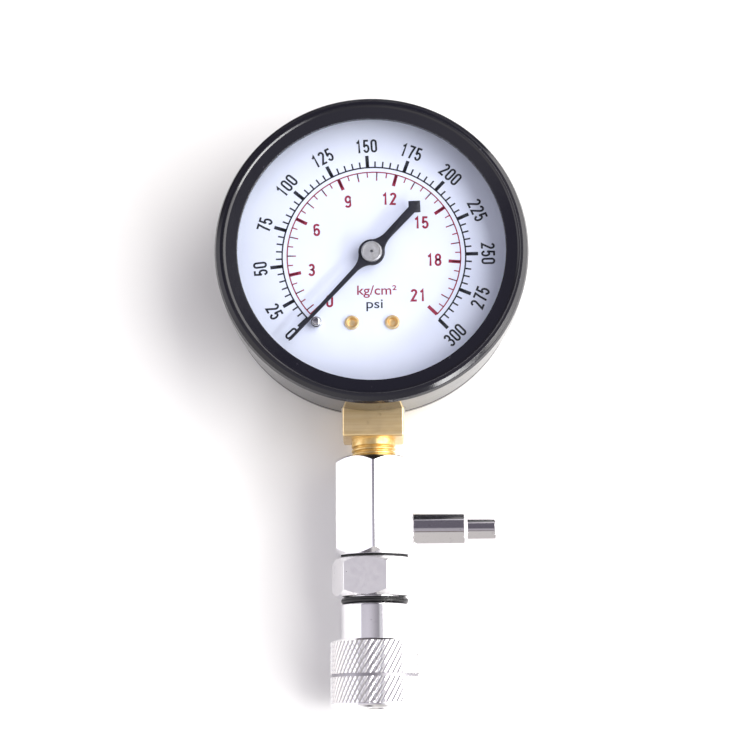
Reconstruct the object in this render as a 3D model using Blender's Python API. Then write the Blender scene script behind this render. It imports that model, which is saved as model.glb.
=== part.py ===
"""Compression tester gauge: a dial gauge, its pressure release valve and its quick coupler.

Units are metres, +Z up. The gauge lies on its back with the dial facing +Z, the origin is the
middle of the case's back, and the stem points along -Y.
"""

import math

import bmesh
import bpy
from mathutils import Vector

MM = 0.001

# Clearances
seat_gap = 0.15 * MM
press_gap = 0.08 * MM
running_gap = 0.09 * MM
thread_gap = 0.15 * MM
screw_gap = 0.12 * MM

# Case, window and bezel
case_radius = 35.1 * MM
case_wall = 0.8 * MM
case_corner = 4.5 * MM
case_depth = 21.2 * MM
stem_slot_gap = 0.45 * MM
gasket_thickness = 1.4 * MM
gasket_width = 3.9 * MM
lens_thickness = 1.5 * MM
bezel_wall = 0.45 * MM
bezel_width = 4.6 * MM
bezel_lip = 1.1 * MM
bezel_bead_rise = 0.85 * MM
bezel_bead_inset = 1.7 * MM
bezel_shoulder = 1.9 * MM
bezel_over_shank = 0.3 * MM

# Dial and pointer
dial_below_rim = 2.2 * MM
dial_thickness = 0.6 * MM
dial_edge_gap = 1.2 * MM
dial_hole_radius = 1.9 * MM
pointer_height = 1.95 * MM
pointer_thickness = 0.45 * MM
pointer_window_gap = 2.6 * MM
pointer_disc_radius = 3.05 * MM
pointer_root_width = 1.3 * MM
pointer_tip_width = 0.62 * MM
pointer_tail_length = 14.6 * MM
pointer_tail_root_width = 1.55 * MM
pointer_tail_width = 1.9 * MM
pointer_square = 2.7 * MM
pointer_fillet_reach = 2.4 * MM
zero_angle = math.radians(227.1)
pointer_swing = math.radians(271.9)
hub_radius = 2.4 * MM
hub_height = 1.0 * MM
hub_bush_radius = 1.4 * MM
hub_bush_length = 1.1 * MM
hub_centre_hole = 0.28 * MM
stop_pin_radius = 1.05 * MM
stop_pin_from_tip = 7.5 * MM
stop_pin_shank = 0.6 * MM
rivet_spacing = 9.24 * MM
rivet_drop_share = 0.661
rivet_head_radius = 1.75 * MM
rivet_head_height = 0.5 * MM
rivet_shank_radius = 1.2 * MM
rivet_hollow_radius = 1.0 * MM
rivet_length = 2.6 * MM
post_radius = 2.2 * MM

# Socket
shank_width = 14.0 * MM
shank_outside = 6.4 * MM
shank_inside = 11.4 * MM
shank_bevel = 0.45 * MM
tongue_width = 12.0 * MM
tongue_thickness = 6.0 * MM
tongue_end_share = 0.45
thread_radius = 5.08 * MM
thread_length = 12.0 * MM
pressure_bore = 1.8 * MM
bore_past_tube = 1.0 * MM

# Bourdon tube
tube_inset = 8.5 * MM
tube_width = 2.4 * MM
tube_height = 8.0 * MM
tube_wall = 0.4 * MM
tube_start = math.radians(259.5)
tube_end = math.radians(-32.0)
tip_thickness = 1.0 * MM
tip_cap_length = 1.4 * MM
tip_plug_length = 1.6 * MM
tip_tongue_width = 3.0 * MM

# Movement
pinion_teeth = 12
sector_full_teeth = 120
sector_cut_teeth = 17
pressure_angle = math.radians(25.0)
addendum_share = 0.9
dedendum_share = 1.2
tooth_backlash = 0.05 * MM
plate_thickness = 1.0 * MM
post_height = 3.3 * MM
sector_thickness = 1.0 * MM
sector_lift = 1.45 * MM
sector_hub_radius = 2.2 * MM
sector_rim = 2.0 * MM
tail_share = 0.29
tail_mid_angle = math.radians(-47.0)
tail_eye_radius = 1.15 * MM
link_share = 0.372
link_thickness = 0.5 * MM
link_eye_radius = 1.15 * MM
link_pin_radius = 0.45 * MM
link_turn_share = 0.15
open_pivot_gap = 0.2 * MM
arbor_radius = 0.5 * MM
pinion_length = 2.4 * MM
sector_arbor_radius = 0.8 * MM
collet_radius = 1.15 * MM
collet_height = 1.2 * MM
hairspring_turns = 4.5
hairspring_share = 0.18
hairspring_strip = 0.14 * MM
hairspring_height = 0.5 * MM
pillar_radius = 1.3 * MM
pillar_spigot = 0.7 * MM
pillar_screw_head = 1.15 * MM
pillar_screw_head_height = 0.7 * MM
pillar_screw_radius = 0.55 * MM
pillar_screw_length = 3.0 * MM
top_pillar_share = (0.4, -0.1)
low_pillar_share = (-0.27, -0.77)
plate_margin = 1.0 * MM
movement_screw_x = 3.7 * MM
movement_screw_from_shank = 2.9 * MM
movement_screw_head = 1.5 * MM
movement_screw_head_height = 0.85 * MM
movement_screw_radius = 0.9 * MM
movement_screw_length = 3.6 * MM
case_screw_x = 4.2 * MM
case_screw_inset = 5.9 * MM
case_screw_head = 2.3 * MM
case_screw_radius = 1.3 * MM
case_screw_length = 4.6 * MM

# Valve body and pressure release
thread_showing = 4.5 * MM
body_length = 22.2 * MM
hex_flats = 17.5 * MM
hex_chamfer_share = 0.95
spigot_radius = 4.8 * MM
spigot_length = 6.8 * MM
passage_radius = 2.0 * MM
valve_offset = 5.7 * MM
valve_spigot_radius = 3.1 * MM
valve_spigot_length = 3.4 * MM
valve_chamber_end = 1.2 * MM
housing_radius = 4.3 * MM
housing_length = 12.4 * MM
housing_chamfer = 0.75 * MM
housing_wall_end = 2.6 * MM
seat_bore = 1.15 * MM
button_radius = 2.9 * MM
button_exposed = 6.9 * MM
button_hidden = 4.9 * MM
button_travel = 2.2 * MM
button_stem_radius = 0.8 * MM
button_foot_radius = 1.4 * MM
button_foot_height = 0.5 * MM
button_edge = 0.45 * MM
seal_radius = 2.1 * MM
seal_thickness = 1.4 * MM
relief_wire = 0.4 * MM
relief_turns = 4.0

# Quick coupler
joint_gasket_thickness = 0.55 * MM
joint_gasket_radius = 8.4 * MM
coupler_hex_length = 8.6 * MM
coupler_hex_roll = math.radians(-16.1)
bumper_radius = 7.65 * MM
bumper_thickness = 1.45 * MM
neck_radius = 6.0 * MM
barrel_radius = 8.0 * MM
barrel_length = 9.6 * MM
nose_radius = 6.6 * MM
nose_length = 12.6 * MM
socket_bore = 4.2 * MM
socket_depth = 15.0 * MM
socket_chamfer = 0.5 * MM
coupler_seal_depth = 10.0 * MM
coupler_seal_wire = 1.3 * MM
coupler_seal_squeeze = 0.5 * MM
ball_radius = 1.55 * MM
ball_depth = 4.6 * MM
sleeve_radius = 10.25 * MM
sleeve_length = 15.3 * MM
sleeve_overhang = 1.0 * MM
sleeve_travel = 3.8 * MM
sleeve_groove_width = 0.65 * MM
sleeve_groove_depth = 0.55 * MM
sleeve_groove_place = 7.55 * MM
sleeve_edge = 0.6 * MM
land_length = 4.4 * MM
release_recess = 7.4 * MM
snap_ring_radius = 7.15 * MM
snap_ring_width = 0.6 * MM
snap_groove_radius = 6.1 * MM
sleeve_wire = 0.6 * MM
sleeve_turns = 3.0

# Places worked out from the sizes above
window_radius = case_radius - bezel_width
gasket_inner_radius = case_radius - gasket_width
bezel_bead_radius = case_radius - bezel_bead_inset
pointer_length = window_radius - pointer_window_gap
stop_pin_distance = pointer_length - stop_pin_from_tip
tube_radius = case_radius - tube_inset
bore_depth = tube_radius - bore_past_tube
movement_reach = tube_radius - tube_width
gear_module = movement_reach / 110
tail_length = movement_reach * tail_share
link_length = movement_reach * link_share
hairspring_radius = movement_reach * hairspring_share
rivet_drop = movement_reach * rivet_drop_share
tongue_end = movement_reach * tongue_end_share
shank_end = case_radius + shank_outside
shank_inner_end = case_radius - shank_inside
movement_screw_y = -(shank_inner_end - movement_screw_from_shank)
case_screw_y = -(case_radius - case_screw_inset)
body_start = shank_end + thread_showing
shank_bottom = case_wall + seat_gap
stem_height = shank_bottom + shank_width / 2
shank_top = shank_bottom + shank_width
gasket_bottom = case_depth + seat_gap
lens_bottom = gasket_bottom + gasket_thickness + seat_gap
lip_bottom = lens_bottom + lens_thickness + seat_gap
window_edge = lip_bottom + bezel_lip
bezel_bottom = shank_top + bezel_over_shank
bezel_inner = case_radius + seat_gap
bezel_radius = bezel_inner + bezel_wall
dial_face = case_depth - dial_below_rim
dial_bottom = dial_face - dial_thickness
back_plate_bottom = shank_bottom + tongue_thickness + seat_gap
back_plate_top = back_plate_bottom + plate_thickness
front_plate_top = dial_bottom - post_height
front_plate_bottom = front_plate_top - plate_thickness
sector_bottom = back_plate_top + sector_lift
sector_top = sector_bottom + sector_thickness
link_bottom = sector_top + seat_gap
link_top = link_bottom + link_thickness
hairspring_bottom = link_top + 3 * seat_gap
pinion_pitch = gear_module * pinion_teeth / 2
sector_pitch = gear_module * sector_full_teeth / 2
gear_ratio = sector_full_teeth / pinion_teeth
sector_swing = pointer_swing / gear_ratio
sector_centre = Vector((0, -(pinion_pitch + sector_pitch), 0))
tail_rest_angle = tail_mid_angle - sector_swing / 2
link_rest_angle = tail_mid_angle + math.pi / 2 - link_turn_share * sector_swing / 2
open_pivot_bow = tail_length * (1 - math.cos(sector_swing / 2))
body_end = body_start + body_length
valve_place = body_end - valve_offset
coupler_start = body_end + joint_gasket_thickness + 2 * seat_gap
hex_end = coupler_start + coupler_hex_length
barrel_start = hex_end + bumper_thickness + 2 * seat_gap
barrel_end = barrel_start + barrel_length
nose_end = barrel_end + nose_length
sleeve_end = nose_end + sleeve_overhang
sleeve_start = sleeve_end - sleeve_length
ball_place = nose_end - ball_depth
land_end = ball_place - ball_radius + sleeve_travel
land_start = land_end - land_length
snap_place = land_end + 2 * seat_gap
ball_centre = nose_radius + running_gap - ball_radius
flat_x = hex_flats / 2
housing_end = flat_x + seat_gap + housing_length
button_start = housing_end - button_hidden
button_end = housing_end + button_exposed
seat_face = flat_x - valve_spigot_length


def clear_scene():
    for obj in list(bpy.data.objects):
        bpy.data.objects.remove(obj, do_unlink=True)


def material(name, colour, roughness, metallic=0.0, alpha=1.0):
    made = bpy.data.materials.new(name)
    made.use_nodes = True
    shader = made.node_tree.nodes["Principled BSDF"]
    shader.inputs["Base Color"].default_value = (*colour, 1.0)
    shader.inputs["Roughness"].default_value = roughness
    shader.inputs["Metallic"].default_value = metallic
    shader.inputs["Alpha"].default_value = alpha
    return made


def finishes():
    return {
        "black_enamel": material("black_enamel", (0.012, 0.012, 0.016), 0.25),
        "clear_window": material("clear_window", (0.9, 0.93, 0.95), 0.03, alpha=0.3),
        "black_rubber": material("black_rubber", (0.015, 0.015, 0.015), 0.6),
        "white_dial": material("white_dial", (0.85, 0.88, 0.92), 0.4),
        "brass": material("brass", (0.62, 0.42, 0.14), 0.3, 1.0),
        "nickel": material("nickel", (0.75, 0.75, 0.74), 0.2, 1.0),
        "steel": material("steel", (0.5, 0.5, 0.52), 0.35, 1.0),
        "pointer_black": material("pointer_black", (0.02, 0.02, 0.025), 0.5),
        "bronze": material("bronze", (0.5, 0.32, 0.18), 0.35, 1.0),
    }


def add_object(name, mesh, finish=None):
    """A new object. Without a finish it is a cutter, which is never rendered."""
    obj = bpy.data.objects.new(name, mesh)
    bpy.context.scene.collection.objects.link(obj)
    if finish is None:
        obj.hide_render = True
        obj.display_type = "WIRE"
    else:
        mesh.materials.append(finish)
    return obj


def lathe(name, profile, finish=None, steps=32, ring=False):
    """Turns (radius, height) points about Z. They run down the outer side, top to bottom.

    A ring's last point joins its first, and any other profile starts and ends on the axis.
    """
    mesh = bpy.data.meshes.new(name)
    count = len(profile)
    edges = [(i, (i + 1) % count) for i in range(count if ring else count - 1)]
    mesh.from_pydata([(radius, 0, height) for radius, height in profile], edges, [])
    obj = add_object(name, mesh, finish)
    screw = obj.modifiers.new("turn", "SCREW")
    screw.axis = "Z"
    screw.angle = 2 * math.pi
    screw.steps = steps
    screw.render_steps = steps
    screw.use_merge_vertices = True
    screw.merge_threshold = 0.000001
    screw.use_smooth_shade = True
    return obj


def point_down_stem(obj):
    """Turns an object so that its own height runs outwards along the stem."""
    obj.rotation_euler = (math.pi / 2, 0, 0)
    obj.location = (0, 0, stem_height)
    return obj


def point_along_valve(obj):
    """Turns an object so that its own height runs out of the valve body's side."""
    obj.rotation_euler = (0, math.pi / 2, 0)
    obj.location = (0, -valve_place, stem_height)
    return obj


def extrude_outline(name, outline, bottom, top, finish=None):
    """A flat plate with this outline, given counter-clockwise."""
    shape = bmesh.new()
    face = shape.faces.new([shape.verts.new((x, y, bottom)) for x, y in outline])
    grown = bmesh.ops.extrude_face_region(shape, geom=[face])["geom"]
    moved = [item for item in grown if isinstance(item, bmesh.types.BMVert)]
    bmesh.ops.translate(shape, verts=moved, vec=(0, 0, top - bottom))
    bmesh.ops.recalc_face_normals(shape, faces=shape.faces)
    mesh = bpy.data.meshes.new(name)
    shape.to_mesh(mesh)
    shape.free()
    return add_object(name, mesh, finish)


def rod(name, radius, bottom, top, finish=None, steps=18, at=(0, 0)):
    obj = lathe(name, [(0, top), (radius, top), (radius, bottom), (0, bottom)], finish, steps)
    obj.location = (at[0], at[1], 0)
    return obj


def block(name, low, high, finish=None):
    shape = bmesh.new()
    bmesh.ops.create_cube(shape, size=1)
    size = [high[i] - low[i] for i in range(3)]
    middle = [(high[i] + low[i]) / 2 for i in range(3)]
    bmesh.ops.scale(shape, vec=size, verts=shape.verts)
    bmesh.ops.translate(shape, vec=middle, verts=shape.verts)
    mesh = bpy.data.meshes.new(name)
    shape.to_mesh(mesh)
    shape.free()
    return add_object(name, mesh, finish)


def combine(obj, other, operation):
    change = obj.modifiers.new(other.name, "BOOLEAN")
    change.operation = operation
    change.solver = "EXACT"
    change.object = other


def cut(obj, *cutters):
    for cutter in cutters:
        combine(obj, cutter, "DIFFERENCE")


def hang_on(parent, *pieces):
    """Parents the pieces to a joint's empty, and leaves them where they are."""
    bpy.context.view_layer.update()
    for piece in pieces:
        piece.parent = parent
        piece.matrix_parent_inverse = parent.matrix_world.inverted()


def joint_axis(name, place):
    empty = bpy.data.objects.new(name, None)
    empty.location = place
    bpy.context.scene.collection.objects.link(empty)
    return empty


def polar(centre, radius, angle):
    return (centre[0] + radius * math.cos(angle), centre[1] + radius * math.sin(angle))


def arc(centre, radius, first, last, count):
    """Points along an arc, both ends included."""
    return [
        polar(centre, radius, first + (last - first) * i / (count - 1)) for i in range(count)
    ]


def hull(points):
    """The convex outline round the points, counter-clockwise."""
    points = sorted(set(points))

    def half(run):
        kept = []
        for p in run:
            while len(kept) > 1:
                a, b = kept[-2:]
                if (b[0] - a[0]) * (p[1] - a[1]) > (b[1] - a[1]) * (p[0] - a[0]):
                    break
                kept.pop()
            kept.append(p)
        return kept[:-1]

    return half(points) + half(points[::-1])


def plate_outline(bosses):
    """An outline drawn tight round circles, each given as (x, y, radius)."""
    rim = []
    for x, y, radius in bosses:
        rim += arc((x, y), radius, 0, 2 * math.pi, 21)[:-1]
    return hull([(round(x, 7), round(y, 7)) for x, y in rim])


def build_case(finish):
    """Drawn cup, slotted from its rim for the shank and drilled behind for the case screws."""
    inner = case_radius - case_wall
    bend = case_corner - case_wall
    floor_radius = case_radius - case_corner
    inside = arc((floor_radius, case_corner), bend, -math.pi / 2, 0, 4)
    outside = arc((floor_radius, case_corner), case_corner, 0, -math.pi / 2, 5)
    rim = [(inner, case_depth), (case_radius, case_depth)]
    profile = [(0, case_wall)] + inside + rim + outside + [(0, 0)]
    case = lathe("case", profile, finish, steps=60)
    half = shank_width / 2 + stem_slot_gap
    slot = block(
        "case_slot",
        (-half, -case_radius - case_wall, case_wall + seat_gap / 2),
        (half, -(floor_radius - case_corner / 2), case_depth + case_wall),
    )
    cut(case, slot)
    return case


def build_bezel(finish):
    """Ring with a skirt over the case, a rounded shoulder, a raised bead and a sloping land."""
    bead_top = window_edge + bezel_bead_rise
    shoulder_centre = (bezel_radius - bezel_shoulder, bead_top - bezel_shoulder)
    shoulder = arc(shoulder_centre, bezel_shoulder, math.radians(78), 0, 5)
    crease = bezel_bead_radius - bezel_bead_rise
    profile = [
        (window_radius, lip_bottom),
        (window_radius, window_edge - bezel_lip / 4),
        (window_radius + bezel_lip / 4, window_edge),
        (crease, window_edge + bezel_bead_rise / 2),
        (bezel_bead_radius - bezel_bead_rise / 3, bead_top - bezel_bead_rise / 12),
    ]
    profile += shoulder
    profile += [
        (bezel_radius, bezel_bottom),
        (bezel_inner, bezel_bottom),
        (bezel_inner, lip_bottom),
    ]
    return lathe("bezel_ring", profile, finish, steps=60, ring=True)


def ring_profile(inner, outer, bottom, top):
    return [(outer, top), (outer, bottom), (inner, bottom), (inner, top)]


def build_window(glass, rubber):
    outer = bezel_inner - seat_gap
    gasket = ring_profile(gasket_inner_radius, outer, gasket_bottom, lens_bottom - seat_gap)
    lathe("window_gasket", gasket, rubber, steps=60, ring=True)
    top = lens_bottom + lens_thickness
    lens = [(0, top), (outer, top), (outer, lens_bottom), (0, lens_bottom)]
    lathe("window_lens", lens, glass, steps=60)


def stop_pin_place():
    """The pin stands beside the pointer's edge, on the side past zero."""
    reach = stop_pin_distance
    along = (pointer_length - reach) / pointer_length
    half_width = (pointer_tip_width + (pointer_root_width - pointer_tip_width) * along) / 2
    aside = half_width + stop_pin_radius + running_gap
    return polar((0, 0), math.hypot(reach, aside), zero_angle + math.atan2(aside, reach))


def build_dial(white, brass, nickel):
    radius = case_radius - case_wall - dial_edge_gap
    dial = rod("dial_plate", radius, dial_bottom, dial_face, white, steps=60)
    below = dial_bottom - dial_thickness
    above = dial_face + dial_thickness
    cut(dial, rod("dial_centre_hole", dial_hole_radius, below, above))
    pin_x, pin_y = stop_pin_place()
    pin_hole = rod("stop_pin_hole", stop_pin_shank + press_gap, below, above, at=(pin_x, pin_y))
    cut(dial, pin_hole)
    for side, x in (("left", -rivet_spacing / 2), ("right", rivet_spacing / 2)):
        place = (x, -rivet_drop)
        hole = rod(f"rivet_hole_{side}", rivet_shank_radius + press_gap, below, above, at=place)
        cut(dial, hole)
        build_rivet(side, place, brass)
        build_post(side, place, brass)
    build_stop_pin((pin_x, pin_y), nickel)


def build_rivet(side, place, brass):
    """Hollow rivet with a rolled head, open at the top."""
    seat = dial_face + seat_gap / 2
    top = seat + rivet_head_height
    crown = (rivet_hollow_radius + rivet_head_radius) / 2
    hollow_end = seat - rivet_length * 0.6
    profile = [
        (0, hollow_end),
        (rivet_hollow_radius * 0.8, hollow_end),
        (rivet_hollow_radius * 0.8, seat),
        (rivet_hollow_radius, top - rivet_head_height * 0.3),
        (crown, top),
        (rivet_head_radius, seat + rivet_head_height * 0.4),
        (rivet_head_radius, seat),
        (rivet_shank_radius, seat),
        (rivet_shank_radius, seat - rivet_length),
        (0, seat - rivet_length),
    ]
    rivet = lathe(f"dial_rivet_{side}", profile, brass, steps=18)
    rivet.location = (place[0], place[1], 0)


def build_post(side, place, brass):
    """Spacer between the movement's front plate and the dial."""
    bottom = front_plate_top + seat_gap
    post = lathe(
        f"dial_post_{side}",
        ring_profile(rivet_shank_radius + press_gap, post_radius, bottom, dial_bottom - seat_gap),
        brass,
        steps=18,
        ring=True,
    )
    post.location = (place[0], place[1], 0)


def build_stop_pin(place, nickel):
    """Domed pin riveted through the dial. It stands as high as the pointer's top."""
    seat = dial_face + seat_gap / 2
    top = dial_face + pointer_height + pointer_thickness + seat_gap
    dome = arc((0, top - stop_pin_radius), stop_pin_radius, math.pi / 2, 0, 5)
    foot = dial_bottom - seat_gap / 2
    foot_radius = stop_pin_radius * 0.9
    profile = dome + [
        (stop_pin_radius, seat),
        (stop_pin_shank, seat),
        (stop_pin_shank, foot),
        (foot_radius, foot),
        (foot_radius, foot - 0.4 * MM),
        (0, foot - 0.4 * MM),
    ]
    pin = lathe("zero_stop_pin", profile, nickel, steps=16)
    pin.location = (place[0], place[1], 0)


def arm_side(length, root_width, end_width, side):
    """Where one edge of an arm leaves the disc, and where its fillet ends, along +X."""
    slope = (end_width - root_width) / 2 / length
    reach = pointer_disc_radius + pointer_fillet_reach
    foot = math.radians(48)
    disc_point = Vector(polar((0, 0), pointer_disc_radius, side * foot))
    edge_point = Vector((reach, side * (root_width / 2 + slope * reach)))
    knee = Vector((pointer_disc_radius * 1.02, side * root_width * 0.62))
    points = []
    for i in range(7):
        t = i / 6
        point = disc_point * (1 - t) ** 2 + knee * (2 * t * (1 - t)) + edge_point * t * t
        points.append((point.x, point.y))
    return points


def pointer_outline():
    """Counter-clockwise, tip along +X: tapered arm, round disc, tail with a square set cornerwise."""
    half_tip = pointer_tip_width / 2
    tip = [
        (pointer_length - 2 * pointer_tip_width, -half_tip),
        (pointer_length, -half_tip / 3),
        (pointer_length, half_tip / 3),
        (pointer_length - pointer_tip_width, half_tip),
    ]
    upper = arm_side(pointer_length, pointer_root_width, pointer_tip_width, 1)
    lower = arm_side(pointer_length, pointer_root_width, pointer_tip_width, -1)
    back_upper = arm_side(pointer_tail_length, pointer_tail_root_width, pointer_tail_width, 1)
    back_lower = arm_side(pointer_tail_length, pointer_tail_root_width, pointer_tail_width, -1)
    corner = pointer_square / math.sqrt(2)
    join = corner - pointer_tail_width / 2
    square = [
        (-(pointer_tail_length - join), pointer_tail_width / 2),
        (-pointer_tail_length, corner),
        (-pointer_tail_length - corner, 0),
        (-pointer_tail_length, -corner),
        (-(pointer_tail_length - join), -pointer_tail_width / 2),
    ]
    disc_top = arc((0, 0), pointer_disc_radius, math.radians(60), math.radians(120), 6)
    disc_low = arc((0, 0), pointer_disc_radius, math.radians(240), math.radians(300), 6)
    outline = tip + upper[::-1] + disc_top
    outline += [(-x, y) for x, y in back_upper]
    outline += square
    outline += [(-x, y) for x, y in back_lower[::-1]]
    outline += disc_low + lower
    return outline


def build_pointer(black, nickel):
    bottom = dial_face + pointer_height
    top = bottom + pointer_thickness
    pointer = extrude_outline("pointer", pointer_outline(), bottom, top, black)
    bore = rod("pointer_bore", hub_bush_radius + press_gap, bottom - MM, top + MM)
    cut(pointer, bore)
    pointer.rotation_euler = (0, 0, zero_angle)
    cap = top + press_gap
    cap_top = cap + hub_height
    bevel = 0.3 * MM
    shaft_end = cap + hub_height / 2
    bush_end = cap - hub_bush_length
    profile = [
        (hub_centre_hole, cap_top),
        (hub_radius - bevel, cap_top),
        (hub_radius, cap_top - bevel),
        (hub_radius, cap),
        (hub_bush_radius, cap),
        (hub_bush_radius, bush_end),
        (arbor_radius + press_gap, bush_end),
        (arbor_radius + press_gap, shaft_end),
        (hub_centre_hole, shaft_end),
    ]
    hub = lathe("pointer_hub", profile, nickel, steps=28, ring=True)
    return [pointer, hub]


def involute(angle):
    return math.tan(angle) - angle


def tooth_flank(teeth, count):
    """(radius, half angle of the tooth) pairs from root to tip of an involute tooth."""
    pitch = gear_module * teeth / 2
    base = pitch * math.cos(pressure_angle)
    tip = pitch + addendum_share * gear_module
    root = pitch - dedendum_share * gear_module
    thickness = math.pi * gear_module / 2 - tooth_backlash
    at_pitch = thickness / 2 / pitch + involute(pressure_angle)
    start = max(base, root)
    flank = [] if root >= base else [(root, at_pitch)]
    for i in range(count):
        radius = start + (tip - start) * i / (count - 1)
        flank.append((radius, at_pitch - involute(math.acos(min(1, base / radius)))))
    return flank


def teeth_outline(centre, teeth, first, count, flank_points):
    """The edge of a run of teeth, counter-clockwise. first is the first tooth's middle."""
    flank = tooth_flank(teeth, flank_points)
    outline = []
    for k in range(count):
        middle = first + 2 * math.pi * k / teeth
        outline += [polar(centre, radius, middle - half) for radius, half in flank]
        outline += [polar(centre, radius, middle + half) for radius, half in reversed(flank)]
    return outline


def build_pinion(steel):
    """Pinion and its shaft in one, up to the pointer's hub."""
    teeth_bottom = sector_bottom - (pinion_length - sector_thickness) / 2
    outline = teeth_outline((0, 0), pinion_teeth, -math.pi / 2, pinion_teeth, 3)
    gear = extrude_outline("pinion_teeth", outline, teeth_bottom, teeth_bottom + pinion_length)
    top = dial_face + pointer_height + pointer_thickness + hub_height / 3
    pivot = arbor_radius * 0.7
    shoulder = back_plate_top + seat_gap
    profile = [
        (0, top),
        (arbor_radius, top),
        (arbor_radius, shoulder),
        (pivot, shoulder),
        (pivot, back_plate_bottom + seat_gap),
        (0, back_plate_bottom + seat_gap),
    ]
    arbor = lathe("pinion_arbor", profile, steel, steps=14)
    combine(arbor, gear, "UNION")
    return arbor


def tail_pin_place(angle):
    return polar(sector_centre, tail_length, angle)


def build_sector(brass, steel):
    """Toothed sector with a lightening window, its tail and the pin for the link."""
    pitch_step = 2 * math.pi / sector_full_teeth
    line = math.pi / 2
    first = line + pitch_step * 1.5 - pitch_step * (sector_cut_teeth - 2)
    root = sector_pitch - dedendum_share * gear_module
    teeth = teeth_outline(sector_centre, sector_full_teeth, first, sector_cut_teeth, 3)
    start = first - pitch_step
    end = first + pitch_step * sector_cut_teeth
    fan = [polar(sector_centre, root, start)] + teeth + [polar(sector_centre, root, end)]
    fan += [polar(sector_centre, sector_hub_radius / 2, end + math.pi / 2)]
    fan += [polar(sector_centre, sector_hub_radius / 2, start - math.pi / 2)]
    gear = extrude_outline("sector_gear", fan, sector_bottom, sector_top, brass)
    step = sector_thickness / 10
    hub_place = sector_centre[:2]
    hub_top = sector_top + sector_thickness / 2
    hub = rod("sector_hub", sector_hub_radius, sector_bottom + step, hub_top, at=hub_place)
    pin_place = tail_pin_place(tail_rest_angle)
    tail_outline = plate_outline(
        [
            (sector_centre.x, sector_centre.y, tail_eye_radius),
            (pin_place[0], pin_place[1], tail_eye_radius),
        ]
    )
    tail = extrude_outline("sector_tail", tail_outline, sector_bottom + step, sector_top - step)
    combine(gear, hub, "UNION")
    combine(gear, tail, "UNION")
    low = sector_bottom - MM
    high = hub_top + MM
    pin_bore = link_pin_radius + press_gap
    cut(gear, rod("tail_bore", pin_bore, low, high, steps=20, at=pin_place))
    bore = sector_arbor_radius + press_gap
    cut(gear, rod("sector_bore", bore, low, high, steps=20, at=hub_place))
    inner = sector_hub_radius + sector_rim / 2
    outer = root - sector_rim
    margin = 1.6 * pitch_step
    window = arc(sector_centre, outer, start + margin, end - margin, 9)
    window += arc(sector_centre, inner, end - 2 * margin, start + 2 * margin, 4)
    cut(gear, extrude_outline("sector_window", window, low, high))
    pin_top = link_top + 2 * seat_gap
    pin = rod("link_pin_sector", link_pin_radius, sector_bottom, pin_top, steel, 16, pin_place)
    low = back_plate_bottom + seat_gap
    high = front_plate_top - seat_gap
    pivot = sector_arbor_radius * 0.7
    collar = sector_hub_radius * 0.6
    profile = [
        (0, high),
        (pivot, high),
        (pivot, front_plate_bottom - seat_gap),
        (sector_arbor_radius, front_plate_bottom - seat_gap),
        (sector_arbor_radius, sector_bottom - seat_gap / 2),
        (collar, sector_bottom - seat_gap / 2),
        (collar, back_plate_top + seat_gap),
        (pivot, back_plate_top + seat_gap),
        (pivot, low),
        (0, low),
    ]
    arbor = lathe("sector_arbor", profile, steel, steps=14)
    arbor.location = (sector_centre.x, sector_centre.y, 0)
    return [gear, arbor, pin]


def tip_pin_place():
    """The tube tip's pin at rest, one link away from the sector's pin."""
    return polar(tail_pin_place(tail_rest_angle), link_length, link_rest_angle)


def build_link(steel):
    """Flat link. Its eye at the tip runs on the pin, and its other eye has the open clearance.

    That eye stands half a bow off the sector's pin, so that the pin's arc stays inside it.
    """
    tip = tip_pin_place()
    tail = polar(sector_centre, tail_length + open_pivot_bow / 2, tail_rest_angle)
    bosses = [(*tip, link_eye_radius), (*tail, link_eye_radius)]
    link = extrude_outline("link", plate_outline(bosses), link_bottom, link_top, steel)
    low = link_bottom - MM
    high = link_top + MM
    cut(link, rod("link_tip_eye", link_pin_radius + running_gap, low, high, at=tip))
    cut(link, rod("link_tail_eye", link_pin_radius + open_pivot_gap, low, high, at=tail))
    return link


def oval(half_width, half_height, count):
    """Flattened tube section as (outwards, up) points: straight sides with rounded ends."""
    points = []
    straight = half_height - half_width
    for side, first in ((1, 0.0), (-1, math.pi)):
        for i in range(count // 2):
            angle = first + math.pi * i / (count // 2 - 1)
            across = half_width * math.cos(angle)
            up = side * straight + half_width * math.sin(angle)
            points.append((across, up))
    return points


def sweep(name, section, first, last, steps, finish=None, inner=None):
    """Runs a section along the tube's circle. With an inner section the sweep is a pipe."""
    shape = bmesh.new()
    loops = [section] if inner is None else [section, inner]
    rings = []
    for loop in loops:
        run = []
        for i in range(steps + 1):
            angle = first + (last - first) * i / steps
            row = []
            for across, up in loop:
                x, y = polar((0, 0), tube_radius + across, angle)
                row.append(shape.verts.new((x, y, stem_height + up)))
            run.append(row)
        rings.append(run)
    count = len(section)
    for run in rings:
        for a, b in zip(run, run[1:]):
            for i in range(count):
                j = (i + 1) % count
                shape.faces.new((a[i], a[j], b[j], b[i]))
    for end in (0, -1):
        if inner is None:
            shape.faces.new(rings[0][end])
        else:
            out, into = rings[0][end], rings[1][end]
            for i in range(count):
                j = (i + 1) % count
                shape.faces.new((out[i], out[j], into[j], into[i]))
    bmesh.ops.recalc_face_normals(shape, faces=shape.faces)
    mesh = bpy.data.meshes.new(name)
    shape.to_mesh(mesh)
    shape.free()
    obj = add_object(name, mesh, finish)
    mesh.shade_smooth()
    mesh.set_sharp_from_angle(angle=math.radians(40))
    return obj


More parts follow.
